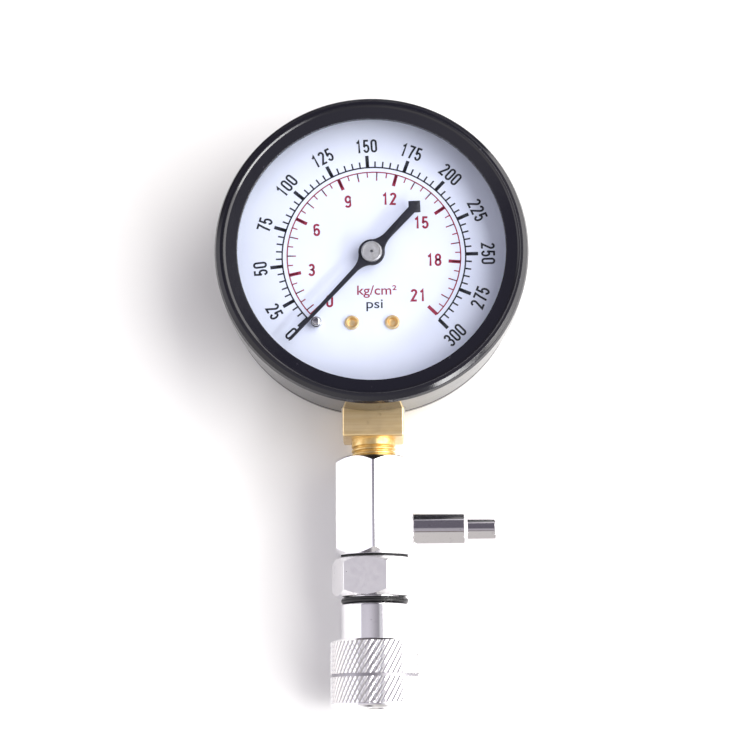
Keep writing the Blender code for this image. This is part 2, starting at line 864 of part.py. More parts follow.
def build_tube(bronze, brass, steel):
    """C-shaped tube from the socket's left side round to its tip at the lower right."""
    half_width = tube_width / 2
    half_height = tube_height / 2
    outer = oval(half_width, half_height, 10)
    inner = oval(half_width - tube_wall, half_height - tube_wall, 10)
    first, last = tube_start, tube_end
    sweep("bourdon_tube", outer, first, last, 36, bronze, inner)
    gap = seat_gap / 2
    cap_start = last - gap / tube_radius
    cap_end = cap_start - tip_cap_length / tube_radius
    plug_start = last + tip_plug_length / tube_radius
    cap = sweep("tube_tip", outer, cap_start, cap_end, 1, brass)
    plug_section = oval(half_width - tube_wall - press_gap, half_height - tube_wall - press_gap, 10)
    middle = (cap_start + cap_end) / 2
    plug = sweep("tip_plug", plug_section, plug_start, middle, 2)
    combine(cap, plug, "UNION")
    pin_place = tip_pin_place()
    cap_place = polar((0, 0), tube_radius, middle)
    tongue_bosses = [
        (*pin_place, tip_tongue_width / 2),
        (*cap_place, tip_cap_length / 3),
    ]
    outline = plate_outline(tongue_bosses)
    tongue = extrude_outline("tip_tongue", outline, sector_bottom, sector_bottom + tip_thickness)
    combine(cap, tongue, "UNION")
    bore = link_pin_radius + press_gap
    cut(cap, rod("tip_bore", bore, sector_bottom - MM, sector_top + MM, at=pin_place))
    pin_top = link_top + 2 * seat_gap
    pin = rod("link_pin_tip", link_pin_radius, sector_bottom, pin_top, steel, 16, pin_place)
    return [cap, pin]


def tube_seat():
    """Cutter for the pocket in the shank that the tube's end is soldered in."""
    grown = oval(tube_width / 2 + seat_gap, tube_height / 2 + seat_gap, 10)
    past = seat_gap / tube_radius
    return sweep("tube_seat", grown, tube_start + past, tube_start - math.radians(16), 6)


def build_socket(brass):
    """Shank, inner tongue and threaded end in one, bored from the thread to the tube's pocket."""
    half = shank_width / 2
    shank = block(
        "socket",
        (-half, -shank_end, shank_bottom),
        (half, -shank_inner_end, shank_top),
        brass,
    )
    bevel = shank.modifiers.new("edges", "BEVEL")
    bevel.width = shank_bevel
    bevel.segments = 2
    tongue = block(
        "socket_tongue",
        (-tongue_width / 2, -shank_inner_end - tongue_thickness, shank_bottom),
        (tongue_width / 2, -tongue_end, shank_bottom + tongue_thickness),
    )
    combine(shank, tongue, "UNION")
    end = shank_end + thread_length
    profile = [
        (0, end),
        (thread_radius - 0.7 * MM, end),
        (thread_radius, end - 0.7 * MM),
        (thread_radius, shank_end - thread_radius),
        (0, shank_end - thread_radius),
    ]
    thread = point_down_stem(lathe("socket_thread", profile, steps=28))
    combine(shank, thread, "UNION")
    bore = point_down_stem(rod("socket_bore", pressure_bore, bore_depth, end + MM, steps=20))
    cut(shank, bore)
    cut(shank, tube_seat())
    seat_x, seat_y = polar((0, 0), tube_radius, tube_start)
    feed_y = min(seat_y, -bore_depth - pressure_bore / 2)
    feed = rod("tube_feed", pressure_bore / 2, seat_x, 0, steps=16)
    feed.rotation_euler = (0, math.pi / 2, 0)
    feed.location = (0, feed_y, stem_height)
    cut(shank, feed)
    for side, x in (("left", -movement_screw_x), ("right", movement_screw_x)):
        depth = back_plate_bottom - movement_screw_length
        place = (x, movement_screw_y)
        hole = rod(f"tap_{side}", movement_screw_radius + screw_gap, depth, back_plate_top, at=place)
        cut(shank, hole)
    for side in (-1, 1):
        cut(shank, case_screw_shape(f"case_tap_{side}", side, screw_gap))
    return shank


def plate_bosses():
    """The two upper pillars and the lower one, each as (x, y, radius) with its margin."""
    reach = pillar_radius + plate_margin
    top_x, top_y = (share * movement_reach for share in top_pillar_share)
    low_x, low_y = (share * movement_reach for share in low_pillar_share)
    return [(-top_x, top_y, reach), (top_x, top_y, reach), (low_x, low_y, reach)]


def build_plates(brass, steel):
    """Back and front plates, three pillars riveted in the back one, and their screws."""
    pivot_boss = (0, 0, pinion_pitch + plate_margin)
    screws = [
        (side * movement_screw_x, movement_screw_y, movement_screw_head + plate_margin / 2)
        for side in (-1, 1)
    ]
    posts = [(side * rivet_spacing / 2, -rivet_drop, post_radius) for side in (-1, 1)]
    back = extrude_outline(
        "movement_back_plate",
        plate_outline(plate_bosses() + [pivot_boss] + screws),
        back_plate_bottom,
        back_plate_top,
        brass,
    )
    front = extrude_outline(
        "movement_front_plate",
        plate_outline(plate_bosses() + [pivot_boss] + posts),
        front_plate_bottom,
        front_plate_top,
        brass,
    )
    low, high = back_plate_bottom - MM, front_plate_top + MM
    middle = (back_plate_top + front_plate_bottom) / 2
    pivots = (
        ("pinion_pivot", (0, 0), arbor_radius * 0.7, arbor_radius),
        ("sector_pivot", sector_centre[:2], sector_arbor_radius * 0.7, sector_arbor_radius * 0.7),
    )
    for name, place, below, above in pivots:
        cut(back, rod(f"{name}_back", below + running_gap, low, middle, steps=20, at=place))
        cut(front, rod(f"{name}_front", above + running_gap, middle, high, steps=20, at=place))
    for number, (x, y, _) in enumerate(plate_bosses(), 1):
        place = (x, y)
        cut(back, rod(f"pillar_hole_{number}", pillar_spigot + press_gap, low, middle, at=place))
        hole = rod(f"screw_hole_{number}", pillar_screw_radius + screw_gap, middle, high, at=place)
        cut(front, hole)
        build_pillar(number, place, brass, steel)
    for side, (x, y, _) in zip(("left", "right"), screws):
        place = (x, y)
        hole = rod(f"mount_{side}", movement_screw_radius + screw_gap, low, middle, at=place)
        cut(back, hole)
        build_cap_screw(
            f"movement_screw_{side}",
            place,
            back_plate_top + seat_gap / 2,
            (movement_screw_head, movement_screw_head_height),
            (movement_screw_radius, movement_screw_length),
            steel,
        )
    return back, front


def build_pillar(number, place, brass, steel):
    foot = back_plate_top + seat_gap / 2
    top = front_plate_bottom - seat_gap / 2
    tapped = pillar_screw_radius + screw_gap
    deep = front_plate_top - pillar_screw_length - 2 * seat_gap
    profile = [
        (0, deep),
        (tapped, deep),
        (tapped, top),
        (pillar_radius, top),
        (pillar_radius, foot),
        (pillar_spigot, foot),
        (pillar_spigot, back_plate_bottom + seat_gap),
        (0, back_plate_bottom + seat_gap),
    ]
    pillar = lathe(f"pillar_{number}", profile, brass, steps=14)
    pillar.location = (place[0], place[1], 0)
    build_cap_screw(
        f"pillar_screw_{number}",
        place,
        front_plate_top + seat_gap / 2,
        (pillar_screw_head, pillar_screw_head_height),
        (pillar_screw_radius, pillar_screw_length),
        steel,
    )


def build_cap_screw(name, place, seat, head, shank, finish):
    """Slotted screw. head and shank are each (radius, height)."""
    top = seat + head[1]
    profile = [
        (0, top),
        (head[0] * 0.85, top),
        (head[0], top - head[1] * 0.3),
        (head[0], seat),
        (shank[0], seat),
        (shank[0], seat - shank[1]),
        (0, seat - shank[1]),
    ]
    screw = lathe(name, profile, finish, steps=14)
    screw.location = (place[0], place[1], 0)
    width = head[0] * 0.15
    slot = block(
        f"{name}_slot",
        (-head[0] * 2, -width, top - head[1] * 0.45),
        (head[0] * 2, width, top + head[1]),
    )
    slot.location = (place[0], place[1], 0)
    cut(screw, slot)
    return screw


def case_screw_shape(name, side, gap, finish=None):
    """Countersunk screw from behind, or its hole when it is grown by a gap."""
    top = case_screw_length + gap
    head = case_screw_head + gap
    radius = case_screw_radius + gap
    bottom = seat_gap / 2 if finish else -MM
    cone_end = bottom + (head - radius) if finish else seat_gap / 2 + (head - radius)
    profile = [(0, top), (radius, top), (radius, cone_end), (head, seat_gap / 2), (head, bottom)]
    if finish:
        profile.pop()
    profile.append((0, bottom))
    screw = lathe(name, profile, finish, steps=18)
    screw.location = (side * case_screw_x, case_screw_y, 0)
    return screw


def build_case_screws(case, steel):
    for name, side in (("left", -1), ("right", 1)):
        screw = case_screw_shape(f"case_screw_{name}", side, 0, steel)
        width = case_screw_radius * 0.25
        slot = block(
            f"case_screw_slot_{name}",
            (-case_screw_radius * 1.3, -width, -MM),
            (case_screw_radius * 1.3, width, 0.45 * MM),
        )
        slot.location = screw.location
        cut(screw, slot)
        cut(case, case_screw_shape(f"case_hole_{name}", side, screw_gap))


def build_hairspring(steel, brass):
    """Flat spiral from the collet on the shaft out to the stud on the front plate."""
    collet = lathe(
        "hairspring_collet",
        ring_profile(
            arbor_radius + press_gap,
            collet_radius,
            hairspring_bottom - collet_height / 4,
            hairspring_bottom + collet_height * 0.75,
        ),
        brass,
        steps=20,
        ring=True,
    )
    inner = collet_radius + press_gap + hairspring_strip / 2
    last = 2 * math.pi * hairspring_turns
    count = int(hairspring_turns * 16)
    centre_line = []
    for i in range(count + 1):
        angle = last * i / count
        radius = inner + (hairspring_radius - inner) * i / count
        centre_line.append((radius, angle))
    half = hairspring_strip / 2
    outline = [polar((0, 0), radius + half, angle) for radius, angle in centre_line]
    outline += [polar((0, 0), radius - half, angle) for radius, angle in reversed(centre_line)]
    top = hairspring_bottom + hairspring_height
    extrude_outline("hairspring", outline, hairspring_bottom, top, steel)
    stud_x, stud_y = polar((0, 0), hairspring_radius, last)
    side = 0.4 * MM
    away = hairspring_strip / 2 + press_gap
    stud_low = (stud_x + away, stud_y - side, hairspring_bottom - side)
    stud_high = (stud_x + away + 2 * side, stud_y + side, front_plate_bottom - seat_gap / 2)
    if stud_x < 0:
        stud_low = (stud_x - away - 2 * side, stud_y - side, hairspring_bottom - side)
        stud_high = (stud_x - away, stud_y + side, front_plate_bottom - seat_gap / 2)
    block("hairspring_stud", stud_low, stud_high, brass)
    return collet


def hex_bar(name, start, end, roll, finish=None):
    """Hexagon bar along the stem with its corners turned back at both ends."""
    corner = hex_flats / math.sqrt(3)
    chamfer = hex_flats / 2 * hex_chamfer_share
    drop = (corner - chamfer) * math.tan(math.radians(30))
    outline = [polar((0, 0), corner, math.pi / 2 + roll + k * math.pi / 3) for k in range(6)]
    bar = point_down_stem(extrude_outline(name, outline, start - MM, end + MM, finish))
    profile = [
        (0, end),
        (chamfer, end),
        (corner + press_gap, end - drop),
        (corner + press_gap, start + drop),
        (chamfer, start),
        (0, start),
    ]
    turned = point_down_stem(lathe(f"{name}_chamfer", profile, steps=36))
    combine(bar, turned, "INTERSECT")
    return bar


def build_valve_body(nickel):
    """Hexagon body with a corner up, threaded at the stem, spigot at the coupler."""
    body = hex_bar("valve_body", body_start, body_end, 0.0, nickel)
    spigot_end = body_end + spigot_length
    spigot = point_down_stem(rod("body_spigot", spigot_radius, body_end - 2 * MM, spigot_end))
    combine(body, spigot, "UNION")
    inlet_end = shank_end + thread_length + thread_gap
    inlet = thread_radius + thread_gap
    profile = [
        (0, spigot_end + MM),
        (passage_radius, spigot_end + MM),
        (passage_radius, inlet_end),
        (inlet, inlet_end),
        (inlet, body_start + 0.6 * MM),
        (inlet + 0.6 * MM, body_start),
        (inlet + 0.6 * MM, body_start - MM),
        (0, body_start - MM),
    ]
    cut(body, point_down_stem(lathe("body_bore", profile, steps=24)))
    side_hole = rod("valve_hole", valve_spigot_radius + thread_gap, valve_chamber_end, hex_flats)
    cut(body, point_along_valve(side_hole))
    return body


def build_relief_valve(nickel, steel, rubber):
    """Housing screwed in the body's side, with a spring-loaded button that lifts a seal."""
    face = flat_x + seat_gap
    bore = button_radius + running_gap
    shoulder = button_start - button_travel - housing_wall_end
    profile = [
        (bore, housing_end),
        (housing_radius - housing_chamfer, housing_end),
        (housing_radius, housing_end - housing_chamfer),
        (housing_radius, face),
        (valve_spigot_radius, face),
        (valve_spigot_radius, seat_face),
        (seat_bore, seat_face),
        (seat_bore, shoulder),
        (bore, shoulder),
    ]
    housing = lathe("relief_housing", profile, nickel, steps=28, ring=True)
    point_along_valve(housing)
    foot_top = seat_face - seal_thickness - 2 * seat_gap
    foot = foot_top - button_foot_height
    profile = [
        (0, button_end),
        (button_radius - button_edge, button_end),
        (button_radius, button_end - button_edge),
        (button_radius, button_start),
        (button_stem_radius, button_start),
        (button_stem_radius, foot_top),
        (button_foot_radius, foot_top),
        (button_foot_radius, foot),
        (0, foot),
    ]
    button = point_along_valve(lathe("relief_button", profile, nickel, steps=24))
    seal_low = foot_top + seat_gap
    ring = ring_profile(
        button_stem_radius + press_gap, seal_radius, seal_low, seal_low + seal_thickness
    )
    seal = point_along_valve(lathe("relief_seal", ring, rubber, steps=18, ring=True))
    middle = (button_stem_radius + bore) / 2
    spring = coil(
        "relief_spring",
        middle,
        relief_wire,
        shoulder + seat_gap,
        button_start - seat_gap,
        relief_turns,
        steel,
    )
    point_along_valve(spring)
    return [button, seal]


def coil(name, radius, wire, bottom, top, turns, finish):
    """Open coil spring along Z, swept from a round wire."""
    per_turn = 12
    count = int(turns * per_turn)
    curve = bpy.data.curves.new(name, "CURVE")
    curve.dimensions = "3D"
    curve.bevel_depth = wire / 2
    curve.bevel_resolution = 1
    curve.use_fill_caps = True
    line = curve.splines.new("POLY")
    line.points.add(count)
    low = bottom + wire / 2
    high = top - wire / 2
    for i in range(count + 1):
        x, y = polar((0, 0), radius, 2 * math.pi * i / per_turn)
        line.points[i].co = (x, y, low + (high - low) * i / count, 1)
    obj = bpy.data.objects.new(name, curve)
    curve.materials.append(finish)
    bpy.context.scene.collection.objects.link(obj)
    return obj


def build_coupler_body(nickel):
    """Hexagon, neck, barrel and nose in one, bored for the spigot and the hose's plug."""
    inside_hex = coupler_start + coupler_hex_length / 2
    edge = 0.35 * MM
    profile = [
        (0, nose_end),
        (nose_radius - edge, nose_end),
        (nose_radius, nose_end - edge),
        (nose_radius, snap_place + snap_ring_width + press_gap),
        (snap_groove_radius, snap_place + snap_ring_width + press_gap),
        (snap_groove_radius, snap_place - press_gap),
        (nose_radius, snap_place - press_gap),
        (nose_radius, barrel_end),
        (barrel_radius - edge, barrel_end),
        (barrel_radius, barrel_end - edge),
        (barrel_radius, barrel_start + edge),
        (barrel_radius - edge, barrel_start),
        (neck_radius, barrel_start),
        (neck_radius, inside_hex),
        (0, inside_hex),
    ]
    body = point_down_stem(lathe("coupler_body", profile, nickel, steps=36))
    combine(body, hex_bar("coupler_hex", coupler_start, hex_end, coupler_hex_roll), "UNION")
    seal_start = nose_end - coupler_seal_depth
    seal_end = seal_start + coupler_seal_wire + 2 * press_gap
    groove = socket_bore - coupler_seal_squeeze + coupler_seal_wire + press_gap
    inlet = spigot_radius + thread_gap
    inlet_end = body_end + spigot_length + thread_gap
    bore_profile = [
        (0, nose_end + MM),
        (socket_bore + socket_chamfer, nose_end + MM),
        (socket_bore + socket_chamfer, nose_end),
        (socket_bore, nose_end - socket_chamfer),
        (socket_bore, seal_end),
        (groove, seal_end),
        (groove, seal_start),
        (socket_bore, seal_start),
        (socket_bore, nose_end - socket_depth),
        (passage_radius, nose_end - socket_depth),
        (passage_radius, inlet_end),
        (inlet, inlet_end),
        (inlet, coupler_start - MM),
        (0, coupler_start - MM),
    ]
    cut(body, point_down_stem(lathe("coupler_bore", bore_profile, steps=24)))
    for name, turn in (("ball_holes_across", 0), ("ball_holes_upright", math.pi / 2)):
        reach = nose_radius + MM
        hole = rod(name, ball_radius + running_gap, -reach, reach, steps=14)
        hole.rotation_euler = (0, math.pi / 2 - turn, 0)
        hole.location = (0, -ball_place, stem_height)
        cut(body, hole)
    return body


def build_balls(steel):
    """Four locking balls, held in their holes by the sleeve's land."""
    for number in range(4):
        shape = bmesh.new()
        bmesh.ops.create_icosphere(shape, subdivisions=2, radius=ball_radius)
        mesh = bpy.data.meshes.new(f"locking_ball_{number + 1}")
        shape.to_mesh(mesh)
        shape.free()
        mesh.shade_smooth()
        ball = add_object(f"locking_ball_{number + 1}", mesh, steel)
        across, up = polar((0, stem_height), ball_centre, number * math.pi / 2)
        ball.location = (across, -ball_place, up)


def torus_ring(name, ring_radius, wire, place, finish, steps):
    """Round ring about the stem, its section drawn as a circle."""
    section = arc((ring_radius, place), wire / 2, 0, -2 * math.pi, 9)[:-1]
    return point_down_stem(lathe(name, section, finish, steps, ring=True))


def build_seals(rubber, steel):
    start = body_end + seat_gap
    washer = ring_profile(
        spigot_radius + thread_gap, joint_gasket_radius, start, start + joint_gasket_thickness
    )
    point_down_stem(lathe("joint_gasket", washer, rubber, steps=36, ring=True))
    bumper_middle = hex_end + seat_gap + bumper_thickness / 2
    squash = neck_radius + press_gap
    edge = 0.35 * MM
    low = bumper_middle - bumper_thickness / 2
    high = bumper_middle + bumper_thickness / 2
    bumper = [
        (bumper_radius - edge, high),
        (bumper_radius, high - edge),
        (bumper_radius, low + edge),
        (bumper_radius - edge, low),
        (squash, low),
        (squash, high),
    ]
    point_down_stem(lathe("coupler_bumper", bumper, rubber, steps=36, ring=True))
    seal_place = nose_end - coupler_seal_depth + press_gap + coupler_seal_wire / 2
    ring_radius = socket_bore - coupler_seal_squeeze + coupler_seal_wire / 2
    torus_ring("coupler_seal", ring_radius, coupler_seal_wire, seal_place, rubber, 24)
    snap = ring_profile(
        snap_groove_radius + press_gap, snap_ring_radius, snap_place, snap_place + snap_ring_width
    )
    point_down_stem(lathe("sleeve_snap_ring", snap, steel, steps=28, ring=True))


def build_sleeve(nickel, steel):
    """Sleeve over the barrel: land over the balls, recess that frees them, groove outside."""
    running = barrel_radius + running_gap
    land = nose_radius + running_gap + press_gap
    groove_start = sleeve_end - sleeve_groove_place
    groove_end = groove_start + sleeve_groove_width
    bottom = sleeve_radius - sleeve_groove_depth
    profile = [
        (release_recess + sleeve_edge / 2, sleeve_end),
        (sleeve_radius - sleeve_edge, sleeve_end),
        (sleeve_radius, sleeve_end - sleeve_edge),
        (sleeve_radius, groove_end),
        (bottom, groove_end),
        (bottom, groove_start),
        (sleeve_radius, groove_start),
        (sleeve_radius, sleeve_start + sleeve_edge),
        (sleeve_radius - sleeve_edge, sleeve_start),
        (running, sleeve_start),
        (running, land_start),
        (land, land_start),
        (land, land_end),
        (release_recess, land_end),
        (release_recess, sleeve_end - sleeve_edge / 2),
    ]
    sleeve = point_down_stem(lathe("coupler_sleeve", profile, nickel, steps=40, ring=True))
    middle = (nose_radius + barrel_radius) / 2
    spring = coil(
        "sleeve_spring",
        middle,
        sleeve_wire,
        barrel_end + seat_gap,
        land_start - seat_gap,
        sleeve_turns,
        steel,
    )
    point_down_stem(spring)
    return sleeve


def build_gauge():
    clear_scene()
    finish = finishes()
    nickel, brass, steel = finish["nickel"], finish["brass"], finish["steel"]
    rubber = finish["black_rubber"]
    case = build_case(finish["black_enamel"])
    build_bezel(finish["black_enamel"])
    build_window(finish["clear_window"], rubber)
    build_dial(finish["white_dial"], brass, nickel)
    build_case_screws(case, steel)
    build_socket(brass)
    build_plates(brass, steel)
    collet = build_hairspring(steel, brass)
    pointer_pieces = build_pointer(finish["pointer_black"], nickel)
    pointer_axis = joint_axis("pointer_axis", (0, 0, 0))
    hang_on(pointer_axis, *pointer_pieces, collet, build_pinion(steel))
    sector_axis = joint_axis("sector_axis", sector_centre)
    hang_on(sector_axis, *build_sector(brass, steel))
    tip_x, tip_y = tip_pin_place()
    tip_axis = joint_axis("tube_tip_axis", (tip_x, tip_y, 0))
    hang_on(tip_axis, *build_tube(finish["bronze"], brass, steel))
    link_axis = joint_axis("link_axis", (tip_x, tip_y, 0))
    hang_on(link_axis, build_link(steel))
    build_valve_body(nickel)
    button_axis = joint_axis("button_axis", (flat_x, -valve_place, stem_height))
    hang_on(button_axis, *build_relief_valve(nickel, steel, rubber))
    build_coupler_body(nickel)
    build_balls(steel)
    build_seals(rubber, steel)
    sleeve_axis = joint_axis("sleeve_axis", (0, -sleeve_start, stem_height))
    hang_on(sleeve_axis, build_sleeve(nickel, steel))


build_gauge()
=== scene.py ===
"""Compression tester gauge: dial gauge, pressure release valve and quick coupler, finished for the
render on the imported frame. Sizes are in millimetres until a mesh is made, and the stem points
along -Y, 7.95 mm above the case's back."""

import math

import bmesh
import bpy
from mathutils import Matrix, Vector


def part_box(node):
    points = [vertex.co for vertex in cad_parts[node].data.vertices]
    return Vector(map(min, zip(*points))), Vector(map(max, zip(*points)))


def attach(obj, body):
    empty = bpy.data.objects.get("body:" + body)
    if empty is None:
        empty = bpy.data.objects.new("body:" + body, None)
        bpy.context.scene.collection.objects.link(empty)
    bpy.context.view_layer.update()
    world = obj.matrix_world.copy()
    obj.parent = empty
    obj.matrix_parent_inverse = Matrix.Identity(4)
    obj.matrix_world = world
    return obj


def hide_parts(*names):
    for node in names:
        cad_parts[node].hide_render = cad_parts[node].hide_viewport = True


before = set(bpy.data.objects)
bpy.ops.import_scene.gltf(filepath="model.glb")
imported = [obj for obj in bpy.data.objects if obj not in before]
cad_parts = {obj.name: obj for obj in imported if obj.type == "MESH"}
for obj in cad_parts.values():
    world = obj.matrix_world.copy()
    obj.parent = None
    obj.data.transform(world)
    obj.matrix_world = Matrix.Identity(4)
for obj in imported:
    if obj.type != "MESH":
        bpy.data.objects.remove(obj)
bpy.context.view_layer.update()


# Case
# A drawn steel cup, stove-enamelled gloss black. It is slotted for the stem and drilled behind for
# two countersunk screws.
MM = 0.001
CASE_RADIUS = 35.1
CASE_DEPTH = 21.2
FINE_STEPS = 180
UPRIGHT = Matrix.Identity(4)


def linear(code):
    """An sRGB hex colour turned linear, with an alpha of one."""
    parts = [int(code[i:i + 2], 16) / 255 for i in (1, 3, 5)]
    return (*[c / 12.92 if c <= 0.04045 else ((c + 0.055) / 1.055) ** 2.4 for c in parts], 1.0)


def add_node(tree, kind, inputs=None, **settings):
    """One node with its settings. An input is a value, the output that feeds it, or a node whose
    first output feeds it."""
    node = tree.nodes.new(kind)
    for name, value in settings.items():
        setattr(node, name, value)
    for name, value in (inputs or {}).items():
        if isinstance(value, bpy.types.Node):
            value = value.outputs[0]
        if isinstance(value, bpy.types.NodeSocket):
            tree.links.new(value, node.inputs[name])
        else:
            node.inputs[name].default_value = value
    return node


def new_finish(name):
    """An empty material and its object coordinates."""
    made = bpy.data.materials.new(name)
    made.use_nodes = True
    tree = made.node_tree
    tree.nodes.clear()
    place = add_node(tree, "ShaderNodeTexCoord").outputs["Object"]
    return made, tree, place


def surfaced(made, inputs):
    """The material with a surface of these inputs."""
    shader = add_node(made.node_tree, "ShaderNodeBsdfPrincipled", inputs)
    add_node(made.node_tree, "ShaderNodeOutputMaterial", {"Surface": shader})
    return made


def grain(tree, place, size, detail=2.0, stretch=(1.0, 1.0, 1.0)):
    """Noise whose blotches are size millimetres across, drawn out along the axes of stretch."""
    scale = tuple(1.0 / (size * MM * s) for s in stretch)
    mapped = add_node(tree, "ShaderNodeMapping", {"Vector": place, "Scale": scale})
    return add_node(
        tree, "ShaderNodeTexNoise", {"Vector": mapped, "Scale": 1.0, "Detail": detail}
    )


def between(tree, value, low, high, first=0.0, last=1.0):
    """A value spread from first to last as it goes from low to high."""
    return add_node(
        tree, "ShaderNodeMapRange",
        {"Value": value, "From Min": low, "From Max": high, "To Min": first, "To Max": last},
        interpolation_type="SMOOTHSTEP",
    )


def blend_colour(tree, share, first, last):
    """One colour going over into another."""
    inputs = {0: share, 6: first, 7: last}
    return add_node(tree, "ShaderNodeMix", inputs, data_type="RGBA").outputs[2]


def enamel(name, gloss, colour, bump):
    """Stoved enamel on steel: deep black, faintly rippled, with dust nibs and a few rubs."""
    made, tree, place = new_finish(name)
    ripple = grain(tree, place, 1.6)
    nibs = add_node(tree, "ShaderNodeTexVoronoi", {"Vector": place, "Scale": 1 / (3.1 * MM)})
    nib = between(tree, nibs, 0.015, 0.03, 1.0, 0.0)
    rub = between(tree, grain(tree, place, 2.2, 6.0, (1.0, 1.0, 0.35)), 0.7, 0.78)
    tint = blend_colour(tree, rub, linear(colour), linear("#3c3b44"))
    tint = blend_colour(tree, nib, tint, linear("#5a575e"))
    rough = between(tree, grain(tree, place, 4.5, 3.0), 0.35, 0.65, gloss * 0.85, gloss * 1.2)
    height = add_node(tree, "ShaderNodeMath", {0: ripple, 1: nib}, operation="ADD")
    relief = add_node(
        tree, "ShaderNodeBump", {"Height": height, "Strength": bump, "Distance": 0.02 * MM}
    )
    return surfaced(made, {
        "Base Color": tint, "Roughness": rough, "Normal": relief, "IOR": 1.5,
    })


# Stoved black enamel, dipped and baked: nearly a mirror, with a slow ripple
case_enamel = enamel("stoved_black_enamel", 0.13, "#16161f", 0.5)


def rounded(points, steps=5):
    """A closed run of (x, y, radius) corners as an outline. A point without a radius stays sharp,
    and a point beside each arc keeps the straight runs flat in the shading."""
    outline = []
    count = len(points)
    for i, point in enumerate(points):
        corner = Vector(point[:2])
        radius = point[2] if len(point) > 2 else 0
        if not radius:
            outline.append(tuple(corner))
            continue
        back = (Vector(points[i - 1][:2]) - corner).normalized()
        ahead = (Vector(points[(i + 1) % count][:2]) - corner).normalized()
        half = back.angle(ahead) / 2
        reach = radius / math.tan(half)
        centre = corner + (back + ahead).normalized() * (radius / math.sin(half))
        start = corner + back * reach - centre
        turn = start.angle_signed(corner + ahead * reach - centre)
        outline.append(tuple(corner + back * (reach + radius * 0.25)))
        for k in range(steps + 1):
            step = -turn * k / steps
            c, s = math.cos(step), math.sin(step)
            outline.append(tuple(centre + Vector((start.x * c - start.y * s, start.x * s + start.y * c))))
        outline.append(tuple(corner + ahead * (reach + radius * 0.25)))
    return outline


def skin(shape, rings, closed=False):
    """Adds the surface over rings of points. A ring of one point is a pole, open ends get a cap."""
    rows = [[shape.verts.new(Vector(point) * MM) for point in ring] for ring in rings]
    pairs = list(zip(rows, rows[1:]))
    if closed:
        pairs.append((rows[-1], rows[0]))
    for low, high in pairs:
        count = max(len(low), len(high))
        for i in range(count):
            j = (i + 1) % count
            if len(low) == 1:
                shape.faces.new((low[0], high[j], high[i]))
            elif len(high) == 1:
                shape.faces.new((low[i], low[j], high[0]))
            else:
                shape.faces.new((low[i], low[j], high[j], high[i]))
    if not closed:
        for ring in (rows[0], rows[-1]):
            if len(ring) > 2:
                shape.faces.new(ring)


def as_mesh(name, shape):
    """A worked shape as a mesh."""
    mesh = bpy.data.meshes.new(name)
    shape.to_mesh(mesh)
    shape.free()
    return mesh


def placed(name, data):
    """An object at the origin that holds the data."""
    made = bpy.data.objects.new(name, data)
    bpy.context.scene.collection.objects.link(made)
    return made


def finished(name, shape, finish, crease=32):
    """The shape as an object: faces outwards, smooth but for its corners."""
    bmesh.ops.recalc_face_normals(shape, faces=shape.faces)
    mesh = as_mesh(name, shape)
    mesh.shade_smooth()
    mesh.set_sharp_from_angle(angle=math.radians(crease))
    if finish:
        mesh.materials.append(finish)
    return placed(name, mesh)


def turned(name, profile, finish=None, steps=FINE_STEPS, place=UPRIGHT, closed=False):
    """Turns (radius, height) points about an axis, which place lays along the piece."""
    rings = []
    for radius, height in profile:
        if radius < 0.0001:
            rings.append([place @ Vector((0, 0, height))])
            continue
        turns = [2 * math.pi * k / steps for k in range(steps)]
        rings.append([
            place @ Vector((radius * math.cos(a), radius * math.sin(a), height)) for a in turns
        ])
    shape = bmesh.new()
    skin(shape, rings, closed)
    return finished(name, shape, finish)


def box(name, low, high):
    """A plain block, used as a cutter."""
    flat = [(low[0], low[1]), (high[0], low[1]), (high[0], high[1]), (low[0], high[1])]
    shape = bmesh.new()
    skin(shape, [[(x, y, z) for x, y in flat] for z in (low[2], high[2])])
    return finished(name, shape, None)


def plain_mesh(piece):
    """What a piece's modifiers or letters give, as a mesh of its own."""
    bpy.context.view_layer.update()
    seen = piece.evaluated_get(bpy.context.evaluated_depsgraph_get())
    return bpy.data.meshes.new_from_object(seen)


def settle(piece, crease=32):
    """Turns a piece's modifiers into plain mesh."""
    mesh = plain_mesh(piece)
    piece.modifiers.clear()
    piece.data = mesh
    mesh.shade_smooth()
    mesh.set_sharp_from_angle(angle=math.radians(crease))
    return piece


def carve(piece, *cutters):
    """Cuts the cutters out of a piece and takes them away."""
    for cutter in cutters:
        change = piece.modifiers.new(cutter.name, "BOOLEAN")
        change.operation = "DIFFERENCE"
        change.solver = "EXACT"
        change.object = cutter
    settle(piece)
    for cutter in cutters:
        bpy.data.objects.remove(cutter, do_unlink=True)
    return piece


case_profile = rounded([
    (0, 0.8), (CASE_RADIUS - 0.8, 0.8, 3.7), (CASE_RADIUS - 0.8, CASE_DEPTH, 0.15),
    (CASE_RADIUS, CASE_DEPTH, 0.25), (CASE_RADIUS, 6.5), (CASE_RADIUS - 0.25, 6.25),
    (CASE_RADIUS - 0.25, 5.75), (CASE_RADIUS, 5.5), (CASE_RADIUS, 0, 4.3), (0, 0),
], 8)
case_cup = turned("case_cup", case_profile, case_enamel)
screw_holes = []
for side in (-1, 1):
    countersink = [(0, 4.72), (1.42, 4.72), (1.42, 1.075), (2.42, 0.075), (2.42, -1), (0, -1)]
    where = Matrix.Translation((side * 4.2, -29.2, 0))
    screw_holes.append(turned(f"screw_hole_{side}", countersink, steps=40, place=where))
stem_slot = box("stem_slot", (-7.45, -CASE_RADIUS - 0.8, 0.875), (7.45, -28.35, CASE_DEPTH + 0.8))
carve(case_cup, stem_slot, *screw_holes)
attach(case_cup, "gauge")
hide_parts("case")


